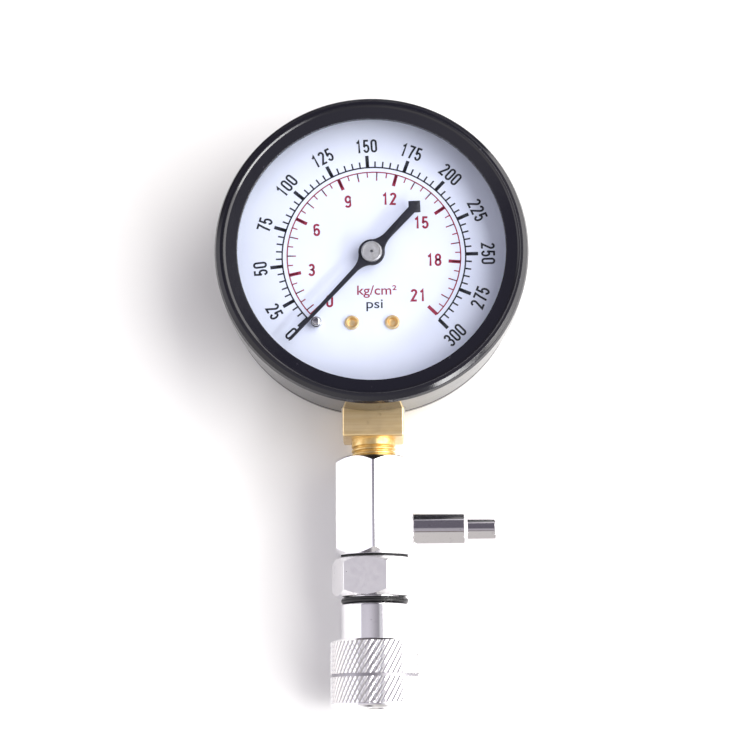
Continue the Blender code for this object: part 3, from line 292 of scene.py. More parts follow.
# Bezel ring
# A spun steel ring in the same enamel: a skirt pressed over the case, a rolled shoulder, a raised
# bead, and a land that slopes down to the window.
LIP_BOTTOM = 24.55
BEZEL_TOP = 26.45
BEZEL_RADIUS = 35.7
bezel_profile = rounded([
    (30.5, LIP_BOTTOM), (30.5, 25.66, 0.2), (33.08, 26.12, 0.03), (33.42, 26.39, 0.03),
    (33.62, BEZEL_TOP, 0.05), (33.78, 26.2, 0.05), (34.4, 26.14, 0.2), (35.3, 25.5, 0.3),
    (BEZEL_RADIUS, 24.3, 0.5), (BEZEL_RADIUS, 15.25, 0.15), (35.25, 15.25), (35.25, LIP_BOTTOM),
], 6)
bezel = turned("bezel_rolled", bezel_profile, case_enamel, closed=True)
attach(bezel, "gauge")
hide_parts("bezel_ring")


# Window and its gasket
# A flat float-glass disc, held down on a black rubber ring by the bezel's lip.
def window_glass():
    """Clear soda glass: it only shows by what it mirrors at a slant."""
    made, tree, place = new_finish("clear_window_glass")
    smear = between(tree, grain(tree, place, 9.0, 4.0), 0.4, 0.7, 0.02, 0.06)
    mirror = add_node(tree, "ShaderNodeBsdfGlossy", {"Color": linear("#ffffff"), "Roughness": smear})
    clear = add_node(tree, "ShaderNodeBsdfTransparent", {"Color": linear("#fbfcff")})
    slant = add_node(tree, "ShaderNodeFresnel", {"IOR": 1.45})
    inside = add_node(tree, "ShaderNodeNewGeometry").outputs["Backfacing"]
    outside = add_node(tree, "ShaderNodeMath", {0: 1.0, 1: inside}, operation="SUBTRACT")
    share = add_node(tree, "ShaderNodeMath", {0: slant, 1: outside}, operation="MULTIPLY")
    both = add_node(tree, "ShaderNodeMixShader", {0: share, 1: clear, 2: mirror})
    add_node(tree, "ShaderNodeOutputMaterial", {"Surface": both})
    return made


def rubber(name, colour, gloss):
    """Moulded nitrile rubber: dark, a little oily, with a fine grain from the mould."""
    made, tree, place = new_finish(name)
    pores = grain(tree, place, 0.22, 4.0)
    cloud = grain(tree, place, 2.5, 2.0)
    tint = blend_colour(tree, between(tree, cloud, 0.35, 0.65), linear(colour), linear("#26262a"))
    rough = between(tree, cloud, 0.3, 0.7, gloss * 0.8, gloss * 1.25)
    relief = add_node(
        tree, "ShaderNodeBump", {"Height": pores, "Strength": 0.35, "Distance": 0.03 * MM}
    )
    return surfaced(made, {
        "Base Color": tint, "Roughness": rough, "Normal": relief, "IOR": 1.52,
    })


def dress(finish, *names):
    """Gives frame nodes their finish."""
    for name in names:
        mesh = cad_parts[name].data
        mesh.materials.clear()
        mesh.materials.append(finish)


gasket_rubber = rubber("nitrile_rubber", "#17171a", 0.55)
dress(window_glass(), "window_lens")
gasket_low, gasket_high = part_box("window_gasket")
gasket_bottom, gasket_top = gasket_low.z / MM, gasket_high.z / MM
gasket_profile = rounded([
    (31.5, gasket_bottom, 0.3), (31.5, gasket_top, 0.3), (gasket_high.x / MM, gasket_top, 0.1),
    (gasket_high.x / MM, gasket_bottom, 0.1),
], 4)
gasket = turned("window_gasket_ring", gasket_profile, gasket_rubber, closed=True)
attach(gasket, "gauge")
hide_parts("window_gasket")


# Dial plate
# An aluminium disc, coated satin white and screen-printed in black and red. The print is a hair
# thick and its centre is a little off the pointer's.
DIAL_FACE = 19.0
PRINT_X = 0.52
PRINT_Y = -0.29
PRINT_LOW = DIAL_FACE - 0.01
PRINT_HIGH = DIAL_FACE + 0.02
BLACK_ARC = 21.1
RED_ARC = 19.95
ZERO = 223.55
PSI_25 = 209.45
KG_3 = 192.85
PSI_STEP = 0.928
KG_STEP = 13.17


def satin_white():
    """Baked satin coating: cool white, soft highlights, a fine even tooth."""
    made, tree, place = new_finish("satin_white_coating")
    cloud = grain(tree, place, 14.0, 2.0)
    tooth = grain(tree, place, 0.12, 3.0)
    tint = blend_colour(tree, between(tree, cloud, 0.3, 0.7), linear("#e9eefb"), linear("#eef3fe"))
    relief = add_node(
        tree, "ShaderNodeBump", {"Height": tooth, "Strength": 0.15, "Distance": 0.01 * MM}
    )
    return surfaced(made, {
        "Base Color": tint, "Roughness": 0.5, "Normal": relief, "IOR": 1.5,
    })


def ink(name, thick, thin):
    """Screen-printing ink: matt, and a touch thinner here and there."""
    made, tree, place = new_finish(name)
    cover = between(tree, grain(tree, place, 0.5, 3.0), 0.55, 0.8)
    tint = blend_colour(tree, cover, linear(thick), linear(thin))
    return surfaced(made, {
        "Base Color": tint, "Roughness": 0.55, "IOR": 1.48,
    })


dress(satin_white(), "dial_plate")
black_ink = ink("black_print", "#1c2028", "#2c313a")
red_ink = ink("red_print", "#96203c", "#a23a52")


def repeating_tree():
    """Copies a shape in rows about Z: ticks on a dial, points of a knurl."""
    tree = bpy.data.node_groups.new("rows_about_an_axis", "GeometryNodeTree")
    face = tree.interface
    face.new_socket("Geometry", in_out="INPUT", socket_type="NodeSocketGeometry")
    kinds = (
        ("Shape", "NodeSocketObject"), ("Finish", "NodeSocketMaterial"),
        ("Columns", "NodeSocketInt"), ("Rows", "NodeSocketInt"), ("Radius", "NodeSocketFloat"),
        ("First angle", "NodeSocketFloat"), ("Turn", "NodeSocketFloat"),
        ("Stagger", "NodeSocketFloat"), ("Start", "NodeSocketFloat"), ("Rise", "NodeSocketFloat"),
    )
    for name, kind in kinds:
        face.new_socket(name, in_out="INPUT", socket_type=kind)
    face.new_socket("Geometry", in_out="OUTPUT", socket_type="NodeSocketGeometry")
    given = add_node(tree, "NodeGroupInput").outputs
    kind = "ShaderNodeMath"
    index = add_node(tree, "GeometryNodeInputIndex")
    passed = add_node(tree, kind, {0: index, 1: given["Columns"]}, operation="DIVIDE")
    row = add_node(tree, kind, {0: passed}, operation="FLOOR")
    column = add_node(tree, kind, {0: index, 1: given["Columns"]}, operation="MODULO")
    odd = add_node(tree, kind, {0: row, 1: 2.0}, operation="MODULO")
    step = {0: odd, 1: given["Stagger"], 2: column}
    step = add_node(tree, kind, step, operation="MULTIPLY_ADD")
    angle = {0: step, 1: given["Turn"], 2: given["First angle"]}
    angle = add_node(tree, kind, angle, operation="MULTIPLY_ADD")
    height = {0: row, 1: given["Rise"], 2: given["Start"]}
    height = add_node(tree, kind, height, operation="MULTIPLY_ADD")
    spot = add_node(tree, "ShaderNodeCombineXYZ", {"X": given["Radius"], "Z": height})
    spot = {"Vector": spot, "Angle": angle}
    spot = add_node(tree, "ShaderNodeVectorRotate", spot, rotation_type="Z_AXIS")
    facing = add_node(tree, "ShaderNodeCombineXYZ", {"Z": angle})
    total = {0: given["Columns"], 1: given["Rows"]}
    total = add_node(tree, kind, total, operation="MULTIPLY")
    points = add_node(tree, "GeometryNodePoints", {"Count": total})
    spread = add_node(tree, "GeometryNodeSetPosition", {"Geometry": points, "Position": spot})
    shape = add_node(tree, "GeometryNodeObjectInfo", {"Object": given["Shape"]})
    copies = add_node(tree, "GeometryNodeInstanceOnPoints", {
        "Points": spread, "Instance": shape.outputs["Geometry"], "Rotation": facing,
    })
    real = add_node(tree, "GeometryNodeRealizeInstances", {"Geometry": copies})
    coated = add_node(tree, "GeometryNodeSetMaterial", {
        "Geometry": real, "Material": given["Finish"],
    })
    add_node(tree, "NodeGroupOutput", {"Geometry": coated})
    return tree


rows_about_axis = repeating_tree()


def repeated(name, shape, finish, sizes):
    """A plain mesh of a shape repeated by the tree above. sizes gives the tree's named inputs."""
    carrier = placed(name, bpy.data.meshes.new(name))
    change = carrier.modifiers.new("rows", "NODES")
    change.node_group = rows_about_axis
    given = {"Shape": shape, "Finish": finish, "Rows": 1, "Stagger": 0.0, "Start": 0.0, "Rise": 0.0}
    given.update(sizes)
    for item in rows_about_axis.interface.items_tree:
        if item.item_type == "SOCKET" and item.in_out == "INPUT" and item.name in given:
            change[item.identifier] = given[item.name]
    mesh = plain_mesh(carrier)
    bpy.data.objects.remove(carrier, do_unlink=True)
    bpy.data.objects.remove(shape, do_unlink=True)
    return mesh


def joined(name, finish, meshes, crease=32):
    """Several meshes as one object."""
    shape = bmesh.new()
    for mesh in meshes:
        shape.from_mesh(mesh)
    made = finished(name, shape, finish, crease)
    for poly in made.data.polygons:
        poly.material_index = 0
    return made


def ticks(finish, radius, length, width, first, step, count):
    """A run of marks on the dial. A minus length points them inwards."""
    low, high = sorted((0, length))
    mark = box("mark", (low, -width / 2, PRINT_LOW), (high, width / 2, PRINT_HIGH))
    mesh = repeated("marks", mark, finish, {
        "Columns": count, "Radius": radius * MM,
        "First angle": math.radians(first), "Turn": math.radians(step),
    })
    mesh.transform(Matrix.Translation((PRINT_X * MM, PRINT_Y * MM, 0)))
    return mesh


def arc_line(radius, width, first, last):
    """A thin printed arc."""
    shape = bmesh.new()
    rings = []
    for k in range(181):
        a = math.radians(first + (last - first) * k / 180)
        section = []
        for reach, height in ((-1, PRINT_LOW), (1, PRINT_LOW), (1, PRINT_HIGH), (-1, PRINT_HIGH)):
            r = radius + reach * width / 2
            section.append((PRINT_X + r * math.cos(a), PRINT_Y + r * math.sin(a), height))
        rings.append(section)
    skin(shape, rings)
    return as_mesh("arc", shape)


psi_first = PSI_25 + 10 * PSI_STEP
black_scale = joined("scale_psi", black_ink, [
    arc_line(BLACK_ARC, 0.34, ZERO + 1.0, -45.6),
    ticks(black_ink, BLACK_ARC, 2.85, 0.8, ZERO, 0, 1),
    ticks(black_ink, BLACK_ARC, 2.85, 0.8, PSI_25, -25 * PSI_STEP, 12),
    ticks(black_ink, BLACK_ARC, 1.45, 0.36, psi_first, -5 * PSI_STEP, 58),
])
red_scale = joined("scale_kg", red_ink, [
    arc_line(RED_ARC, 0.28, ZERO + 0.8, -44.3),
    ticks(red_ink, RED_ARC, -2.75, 0.78, ZERO, 0, 1),
    ticks(red_ink, RED_ARC, -2.75, 0.78, KG_3, -3 * KG_STEP, 7),
    ticks(red_ink, RED_ARC, -2.05, 0.28, KG_3 + 2 * KG_STEP, -KG_STEP, 20),
    ticks(red_ink, RED_ARC, -1.25, 0.27, KG_3 + 2 * KG_STEP, -KG_STEP / 2, 40),
])
for scale in (black_scale, red_scale):
    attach(scale, "gauge")


# Figures and unit marks
# Printed with the scales in narrow sans figures of one stroke width: black ones stand along their
# own marks, red ones upright inside.
def bowl(x, y, across, up, first, last):
    """Part of an oval in a figure's unit box, from one angle to another."""
    count = max(4, int(abs(last - first) / 18))
    turns = [math.radians(first + (last - first) * k / count) for k in range(count + 1)]
    return [(x + across * math.cos(a), y + up * math.sin(a)) for a in turns]


six = [bowl(0, 0.6, 1, 0.4, 25, 180) + bowl(0, -0.42, 1, 0.58, 180, -165)]
FIGURES = {
    "0": [bowl(0, 0.6, 1, 0.4, 0, 180) + bowl(0, -0.6, 1, 0.4, 180, 360) + [(1, 0.6)]],
    "1": [[(-0.75, 0.62), (-0.2, 0.74), (0.25, 1.02), (0.25, -1.14)]],
    "2": [bowl(0, 0.56, 0.96, 0.44, 170, -32) + [(-0.92, -1), (1.15, -1)]],
    "3": [bowl(0, 0.52, 0.9, 0.48, 158, -88) + bowl(0, -0.48, 1, 0.52, 88, -160)],
    "5": [[(1.0, 1), (-0.72, 1), (-0.92, 0.02)] + bowl(0, -0.4, 1, 0.6, 140, -162)],
    "6": six,
    "7": [[(-1.15, 1), (0.98, 1), (0.35, 0.1), (-0.1, -1.14)]],
    "8": [bowl(0, 0.52, 0.88, 0.48, 0, 360), bowl(0, -0.48, 1, 0.52, 0, 360)],
    "9": [[(-x, -y) for x, y in six[0]]],
}


def ribbon(shape, line, width):
    """A flat stroke along a line, mitred at its corners. A line that meets itself is closed."""
    points = [Vector(point) for point in line]
    closed = (points[0] - points[-1]).length < 0.02
    if closed:
        points.pop()
    count = len(points)
    rings = []
    for i, point in enumerate(points):
        before = point - points[i - 1] if closed or i else None
        after = points[(i + 1) % count] - point if closed or i < count - 1 else None
        before, after = before or after, after or before
        a = Vector((-before.y, before.x)).normalized()
        b = Vector((-after.y, after.x)).normalized()
        side = (a + b).normalized()
        side *= width / 2 / max(0.5, side.dot(a))
        left, right = point + side, point - side
        rings.append([
            (left.x, left.y, PRINT_LOW), (right.x, right.y, PRINT_LOW),
            (right.x, right.y, PRINT_HIGH), (left.x, left.y, PRINT_HIGH),
        ])
    skin(shape, rings, closed)


def write_number(shape, number, centre, turn, size):
    """A number in strokes. size is (figure width, height, stroke, pitch), turn is in degrees."""
    width, height, stroke, pitch = size
    c, s = math.cos(math.radians(turn)), math.sin(math.radians(turn))
    for place, figure in enumerate(number):
        shift = (place - (len(number) - 1) / 2) * pitch
        for line in FIGURES[figure]:
            moved = []
            for x, y in line:
                x, y = shift + x * (width - stroke) / 2, y * (height - stroke) / 2
                moved.append((centre[0] + x * c - y * s, centre[1] + x * s + y * c))
            ribbon(shape, moved, stroke)


def unit_mark(words, centre, width, height, weight):
    """Letters from Blender's own font, fitted to a width and height and laid on the dial."""
    letters = bpy.data.curves.new(words, "FONT")
    letters.body = words
    letters.extrude = 0.1
    letters.offset = weight
    carrier = placed("letters", letters)
    mesh = plain_mesh(carrier)
    bpy.data.objects.remove(carrier, do_unlink=True)
    low = [min(v.co[i] for v in mesh.vertices) for i in range(3)]
    high = [max(v.co[i] for v in mesh.vertices) for i in range(3)]
    size = (width, height, PRINT_HIGH - PRINT_LOW)
    middle = (centre[0], centre[1], (PRINT_HIGH + PRINT_LOW) / 2)
    for vertex in mesh.vertices:
        for i in range(3):
            share = (vertex.co[i] - low[i]) / (high[i] - low[i]) - 0.5
            vertex.co[i] = (middle[i] + share * size[i]) * MM
    return mesh


def number_mesh(numbers):
    """One mesh of several numbers, each given as (number, centre, turn, size)."""
    shape = bmesh.new()
    for number, centre, turn, size in numbers:
        write_number(shape, number, centre, turn, size)
    return as_mesh("numbers", shape)


BLACK_SIZE = (1.5, 3.2, 0.46, 1.78)
RED_SIZE = (1.6, 2.97, 0.5, 1.88)
NUMBER_RADIUS = 26.25
psi_numbers = []
for value in range(0, 301, 25):
    angle = ZERO if value == 0 else PSI_25 - (value - 25) * PSI_STEP
    a = math.radians(angle)
    centre = (PRINT_X + NUMBER_RADIUS * math.cos(a), PRINT_Y + NUMBER_RADIUS * math.sin(a))
    upright = angle - 90 if math.sin(a) > -0.3 else angle + 90
    psi_numbers.append((str(value), centre, upright, BLACK_SIZE))
kg_centres = {
    "0": (-9.69, -10.85), "3": (-13.82, -3.5), "6": (-12.6, 5.97), "9": (-5.36, 12.66),
    "12": (4.13, 13.23), "15": (11.47, 7.5), "18": (14.31, -1.38), "21": (10.56, -9.7),
}
kg_numbers = [(number, centre, 0, RED_SIZE) for number, centre in kg_centres.items()]
black_print = joined("figures_psi", black_ink, [
    number_mesh(psi_numbers), unit_mark("psi", (0.58, -11.98), 3.75, 2.74, 0.006),
])
red_print = joined("figures_kg", red_ink, [
    number_mesh(kg_numbers), unit_mark("kg/cm²", (1.13, -8.73), 9.03, 2.93, 0.008),
])
for figures in (black_print, red_print):
    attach(figures, "gauge")


# Rivets of the dial
# Hollow brass rivets, their heads rolled over. They are bright where the tool ran round, and
# darker down the hole.
def turned_metal(name, colour, dark, gloss, marks, bump, along="Z"):
    """Turned bright metal: tool marks run round the piece, marks millimetres apart along it."""
    made, tree, place = new_finish(name)
    part = add_node(tree, "ShaderNodeSeparateXYZ", {"Vector": place})
    where = {0: part.outputs[along], 1: 1 / (marks * MM)}
    count = add_node(tree, "ShaderNodeMath", where, operation="MULTIPLY")
    lines = add_node(
        tree, "ShaderNodeTexNoise", {"W": count, "Scale": 1.0, "Detail": 3.0},
        noise_dimensions="1D",
    )
    cloud = grain(tree, place, 1.8, 4.0)
    tint = blend_colour(tree, between(tree, cloud, 0.35, 0.7), linear(colour), linear(dark))
    rough = between(tree, cloud, 0.3, 0.7, gloss * 0.8, gloss * 1.3)
    relief = add_node(
        tree, "ShaderNodeBump", {"Height": lines, "Strength": bump, "Distance": 0.02 * MM}
    )
    return surfaced(made, {
        "Base Color": tint, "Metallic": 1.0, "Roughness": rough, "Normal": relief,
    })


# Rolled brass, buffed by the setting tool: warm gold, nearly mirror
rivet_brass = turned_metal("rolled_bright_brass", "#f6dfae", "#e3bd7c", 0.42, 0.2, 0.2)
for side, name in ((-1, "dial_rivet_left"), (1, "dial_rivet_right")):
    where = Matrix.Translation((side * 4.62, -15.996, 0))
    rivet_profile = rounded([
        (0, 18.9),
        (0.75, 18.95, 0.15),
        (0.98, 19.35, 0.1),
        (1.12, 19.575, 0.14),
        (1.5, 19.575, 0.22),
        (1.74, 19.09, 0.1),
        (1.2, 19.075),
        (1.2, 16.475),
        (0, 16.475),
    ], 4)
    rivet = turned(f"{name}_head", rivet_profile, rivet_brass, 48, where)
    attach(rivet, "gauge")
    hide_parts(name)
dress(rivet_brass, "dial_post_left", "dial_post_right")


# Zero stop pin
# A plated pin with a domed head, riveted through the dial. The pointer rests against it.
# Bright nickel on turned steel: a small round mirror
bright_nickel = turned_metal("bright_nickel", "#e6e5e2", "#bdbbb8", 0.1, 0.15, 0.15)
low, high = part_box("zero_stop_pin")
pin_spot = ((low.x + high.x) / 2 / MM, (low.y + high.y) / 2 / MM)
pin_profile = rounded([
    (0, 21.55), (1.04, 21.4, 0.5), (1.04, 20.7, 0.1), (1.27, 20.5, 0.2), (1.27, 19.09, 0.1),
    (0.6, 19.075), (0.6, 18.325), (0.945, 18.325), (0.945, 17.925), (0, 17.925),
])
stop_pin = turned(
    "stop_pin_domed", pin_profile, bright_nickel, 48, Matrix.Translation((*pin_spot, 0))
)
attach(stop_pin, "gauge")
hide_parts("zero_stop_pin")


# Pointer
# Punched from thin aluminium sheet and lacquered black, with the punched edge a little rounded.
def pointer_lacquer():
    """Satin black lacquer: soft sheen, fine dust."""
    made, tree, place = new_finish("satin_black_lacquer")
    cloud = grain(tree, place, 1.5, 4.0)
    tint = blend_colour(tree, between(tree, cloud, 0.35, 0.7), linear("#181920"), linear("#23242c"))
    relief = add_node(tree, "ShaderNodeBump", {
        "Height": grain(tree, place, 0.1, 2.0), "Strength": 0.3, "Distance": 0.01 * MM,
    })
    return surfaced(made, {
        "Base Color": tint, "Roughness": 0.42, "Normal": relief, "IOR": 1.5,
    })


def copied(name, node, finish):
    """A clean copy of a frame node, its loose triangles merged and its flat faces whole."""
    shape = bmesh.new()
    shape.from_mesh(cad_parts[node].data)
    bmesh.ops.remove_doubles(shape, verts=shape.verts, dist=0.002 * MM)
    bmesh.ops.dissolve_limit(
        shape, angle_limit=math.radians(0.5), verts=shape.verts, edges=shape.edges
    )
    return finished(name, shape, finish)


pointer_blade = copied("pointer_blade", "pointer", pointer_lacquer())
punched_edge = pointer_blade.modifiers.new("punched_edge", "BEVEL")
punched_edge.width = 0.07 * MM
punched_edge.segments = 2
punched_edge.limit_method = "ANGLE"
punched_edge.angle_limit = math.radians(50)
settle(pointer_blade, 40)
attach(pointer_blade, "pointer")
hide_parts("pointer")


# Pointer hub
# A turned and nickelled bush pressed in the pointer: faced across, its rim chamfered bright, with
# the pinion shaft's centre showing.
# Faced nickel: grey from fine tool rings
hub_nickel = turned_metal("faced_nickel", "#d2d1ce", "#b4b2af", 0.5, 0.06, 0.4)
hub_profile = rounded([
    (0.28, 22.2), (0.36, 22.38), (1.88, 22.38), (1.92, 22.48), (2.08, 22.48, 0.05),
    (2.375, 22.2, 0.1), (2.4, 21.48), (1.4, 21.48), (1.4, 20.38), (0.58, 20.38), (0.58, 21.98),
    (0.28, 21.98),
], 4)
hub = turned("pointer_hub_faced", hub_profile, hub_nickel, 72, closed=True)
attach(hub, "pointer")
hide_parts("pointer_hub")


# Stem
# One brass piece: a square shank sawn from drawn bar and brushed along its faces, a tongue inside
# the case, and a turned end with a fine thread that screws into the hexagon body.
STEM_HEIGHT = 7.95
DOWN_STEM = Matrix.Translation((0, 0, STEM_HEIGHT)) @ Matrix.Rotation(math.pi / 2, 4, "X")
SHANK_END = 41.5
THREAD_PITCH = 1.04


def brushed_brass(name, colour, dark, along):
    """Drawn brass bar, linished: fine straight lines, 0.09 mm apart, on a duller yellow."""
    made, tree, place = new_finish(name)
    lines = grain(tree, place, 0.09, 3.0, along)
    bands = grain(tree, place, 0.6, 3.0, along)
    cloud = grain(tree, place, 3.0, 3.0)
    tint = blend_colour(tree, between(tree, bands, 0.3, 0.75), linear(colour), linear(dark))
    tint = blend_colour(tree, between(tree, cloud, 0.6, 0.9), tint, linear("#b8975c"))
    rough = between(tree, lines, 0.3, 0.7, 0.3, 0.44)
    relief = add_node(
        tree, "ShaderNodeBump", {"Height": lines, "Strength": 0.6, "Distance": 0.02 * MM}
    )
    return surfaced(made, {
        "Base Color": tint, "Metallic": 1.0, "Roughness": rough, "Normal": relief,
    })


shank_brass = brushed_brass("brushed_brass", "#f6deb0", "#ecd09a", (25.0, 1.0, 1.0))
# Turned brass: brighter and more golden than the brushed faces
thread_brass = turned_metal("turned_brass", "#f0d69c", "#dcb874", 0.38, 0.12, 0.3, "Y")


def trim(shape, point, facing):
    """Takes off what lies beyond a plane and closes the cut."""
    cut = bmesh.ops.bisect_plane(
        shape, geom=shape.verts[:] + shape.edges[:] + shape.faces[:],
        plane_co=Vector(point) * MM, plane_no=facing, clear_outer=True,
    )
    edges = [item for item in cut["geom_cut"] if isinstance(item, bmesh.types.BMEdge)]
    bmesh.ops.holes_fill(shape, edges=edges, sides=0)


shank = copied("stem_block", "socket", None)
stem_shape = bmesh.new()
stem_shape.from_mesh(shank.data)
trim(stem_shape, (0, -SHANK_END - 0.02, 0), (0, -1, 0))
shank_count = len(stem_shape.faces)


def thread_ring(place, steps, radius, depth, run_in):
    """One ring of a screw thread, place millimetres along it."""
    ring = []
    for k in range(steps):
        phase = (place / THREAD_PITCH - k / steps) % 1.0
        groove = max(0.0, 1 - abs(phase - 0.5) / 0.34)
        r = radius - depth * min(1.0, groove * 1.25) * run_in
        a = 2 * math.pi * k / steps
        ring.append(DOWN_STEM @ Vector((r * math.cos(a), r * math.sin(a), SHANK_END + place)))
    return ring


thread_shape = bmesh.new()
thread_rings = [[DOWN_STEM @ Vector((0, 0, SHANK_END - 1))]]
for k in range(116):
    along = -0.5 + 12.5 * k / 115
    run_in = min(1.0, max(0.0, (along - 1.3) / 0.4))
    end_taper = min(0.0, 11.4 - along)
    thread_rings.append(thread_ring(along, 64, 5.06 + end_taper, 0.52, run_in))
thread_rings.append([DOWN_STEM @ Vector((0, 0, SHANK_END + 12))])
skin(thread_shape, thread_rings)
thread = finished("stem_thread_turned", thread_shape, None, 28)
bore = [(0, 54), (1.8, 54), (1.8, 25.6), (0, 25.6)]
carve(thread, turned("stem_bore", bore, steps=32, place=DOWN_STEM))
stem_shape.from_mesh(thread.data)
stem_shape.faces.ensure_lookup_table()
for face in stem_shape.faces[shank_count:]:
    face.material_index = 1
stem_mesh = as_mesh("stem", stem_shape)
stem_mesh.materials.append(shank_brass)
stem_mesh.materials.append(thread_brass)
stem_mesh.shade_smooth()
stem_mesh.set_sharp_from_angle(angle=math.radians(50))
stem = placed("stem", stem_mesh)
flat_faces = stem.modifiers.new("flat_faces", "WEIGHTED_NORMAL")
flat_faces.keep_sharp = True
weighted = plain_mesh(stem)
stem.modifiers.clear()
stem.data = weighted
bpy.data.objects.remove(shank, do_unlink=True)
bpy.data.objects.remove(thread, do_unlink=True)
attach(stem, "gauge")
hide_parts("socket")


# Hexagon body
# Hexagon steel bar, its corners turned back at 45 degrees at both ends, bored and bright-chromed. A
# corner points up, and the release valve screws into the flat on the right.
HEX_FLATS = 17.5
BODY_START = 46.0
BODY_END = 68.33


def chrome(name, colour, cloudy, gloss, bump, wave=3.0):
    """Bright chrome over nickel: a cool mirror, slightly wavy from polishing, faintly clouded."""
    made, tree, place = new_finish(name)
    waves = grain(tree, place, wave, 2.0)
    cloud = grain(tree, place, 1.1, 5.0)
    tint = blend_colour(tree, between(tree, cloud, 0.56, 0.85), linear(colour), linear(cloudy))
    specks = add_node(tree, "ShaderNodeTexVoronoi", {"Vector": place, "Scale": 1 / (2.6 * MM)})
    pit = between(tree, specks, 0.02, 0.045, 1.0, 0.0)
    tint = blend_colour(tree, pit, tint, linear("#6d6a70"))
    rough = between(tree, cloud, 0.3, 0.8, gloss * 0.9, gloss * 1.2)
    relief = add_node(
        tree, "ShaderNodeBump", {"Height": waves, "Strength": bump, "Distance": 0.05 * MM}
    )
    return surfaced(made, {
        "Base Color": tint, "Metallic": 1.0, "Roughness": rough, "Normal": relief,
    })


# Turned or drawn bright, then polished and chromed: a clean mirror
polished_chrome = chrome("polished_chrome", "#eeedf0", "#dfdde1", 0.1, 0.05)
# Milled flats keep a satin under their chrome
satin_chrome = chrome("satin_chrome", "#f5f4f6", "#ebe9ec", 0.36, 0.05)


def hexagon(roll, edge, steps=6):
    """(angle, radius) round a hexagon bar with rounded edges, its first corner at the top."""
    flat = HEX_FLATS / 2
    corner = flat / math.cos(math.pi / 6)
    corners = []
    for k in range(6):
        a = math.pi / 2 + roll + k * math.pi / 3
        corners.append((corner * math.cos(a), corner * math.sin(a), edge))
    points = []
    outline = rounded(corners, steps)
    per_side = len(outline) // 6
    for k in range(6):
        points += outline[k * per_side:(k + 1) * per_side]
        first = Vector(outline[(k + 1) * per_side - 1])
        last = Vector(outline[((k + 1) * per_side) % len(outline)])
        points += [tuple(first.lerp(last, t / 9)) for t in range(1, 9)]
    return [(math.atan2(y, x), math.hypot(x, y)) for x, y in points]


def stem_point(angle, radius, along):
    return DOWN_STEM @ Vector((radius * math.cos(angle), radius * math.sin(angle), along))


def hex_rings(outline, start, end, start_angle, end_angle):
    """The rings of a bar whose ends are turned back, each at its own angle to its face. The turned
    circle is a little inside the flats."""
    chamfer = HEX_FLATS / 2 * 0.985
    first, last = math.tan(math.radians(start_angle)), math.tan(math.radians(end_angle))
    return [
        [stem_point(a, chamfer, start) for a, _ in outline],
        [stem_point(a, r, start + (r - chamfer) * first) for a, r in outline],
        [stem_point(a, r, start + 2.3) for a, r in outline],
        [stem_point(a, r, end - 2.3) for a, r in outline],
        [stem_point(a, r, end - (r - chamfer) * last) for a, r in outline],
        [stem_point(a, chamfer, end) for a, _ in outline],
    ]


def round_rings(outline, profile):
    """Rings of (radius, along) points with the same number of points as an outline."""
    return [[stem_point(a, radius, along) for a, _ in outline] for radius, along in profile]


body_outline = hexagon(0.0, 1.0)
body_shape = bmesh.new()
skin(
    body_shape,
    [[stem_point(0, 0, 53.65)]]
    + round_rings(body_outline, [(5.23, 53.65), (5.23, 46.6), (5.83, BODY_START)])
    + hex_rings(body_outline, BODY_START, BODY_END, 45, 45)
    + round_rings(body_outline, [(4.8, BODY_END), (4.8, 75.0)])
    + [[stem_point(0, 0, 75.0)]],
)
body = finished("hexagon_body", body_shape, polished_chrome)
ALONG_VALVE = Matrix.Translation((0, -62.5, STEM_HEIGHT)) @ Matrix.Rotation(math.pi / 2, 4, "Y")
passage = turned("passage", [(0, 77), (2, 77), (2, 53), (0, 53)], steps=40, place=DOWN_STEM)
port = [(0, 17), (3.25, 17), (3.25, 1.2), (0, 1.2)]
side_port = turned("side_port", port, steps=40, place=ALONG_VALVE)
carve(body, passage, side_port)
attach(body, "gauge")
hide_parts("valve_body")


# Release valve
# A turned, chromed housing screwed into the body's side, with a push button that a spring holds
# out. Both have finely rounded edges.
valve_chrome = chrome("turned_chrome", "#e6e4e7", "#d0cdd2", 0.1, 0.06, 1.5)
housing_profile = rounded([
    (2.99, 21.3, 0.12), (3.55, 21.3, 0.12), (4.3, 20.55, 0.2), (4.3, 8.9, 0.1), (3.1, 8.9),
    (3.1, 5.35), (1.15, 5.35), (1.15, 11.6), (2.99, 11.6),
], 4)
housing = turned("release_housing", housing_profile, valve_chrome, 96, ALONG_VALVE, True)
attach(housing, "gauge")
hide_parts("relief_housing")
button_profile = rounded([
    (0, 28.2), (2.2, 28.17, 0.5), (2.9, 27.7, 0.35), (2.9, 16.4, 0.1), (0.8, 16.4), (0.8, 3.65),
    (1.4, 3.65), (1.4, 3.15), (0, 3.15),
], 4)
button = turned("release_button", button_profile, valve_chrome, 72, ALONG_VALVE)
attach(button, "button")
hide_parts("relief_button")


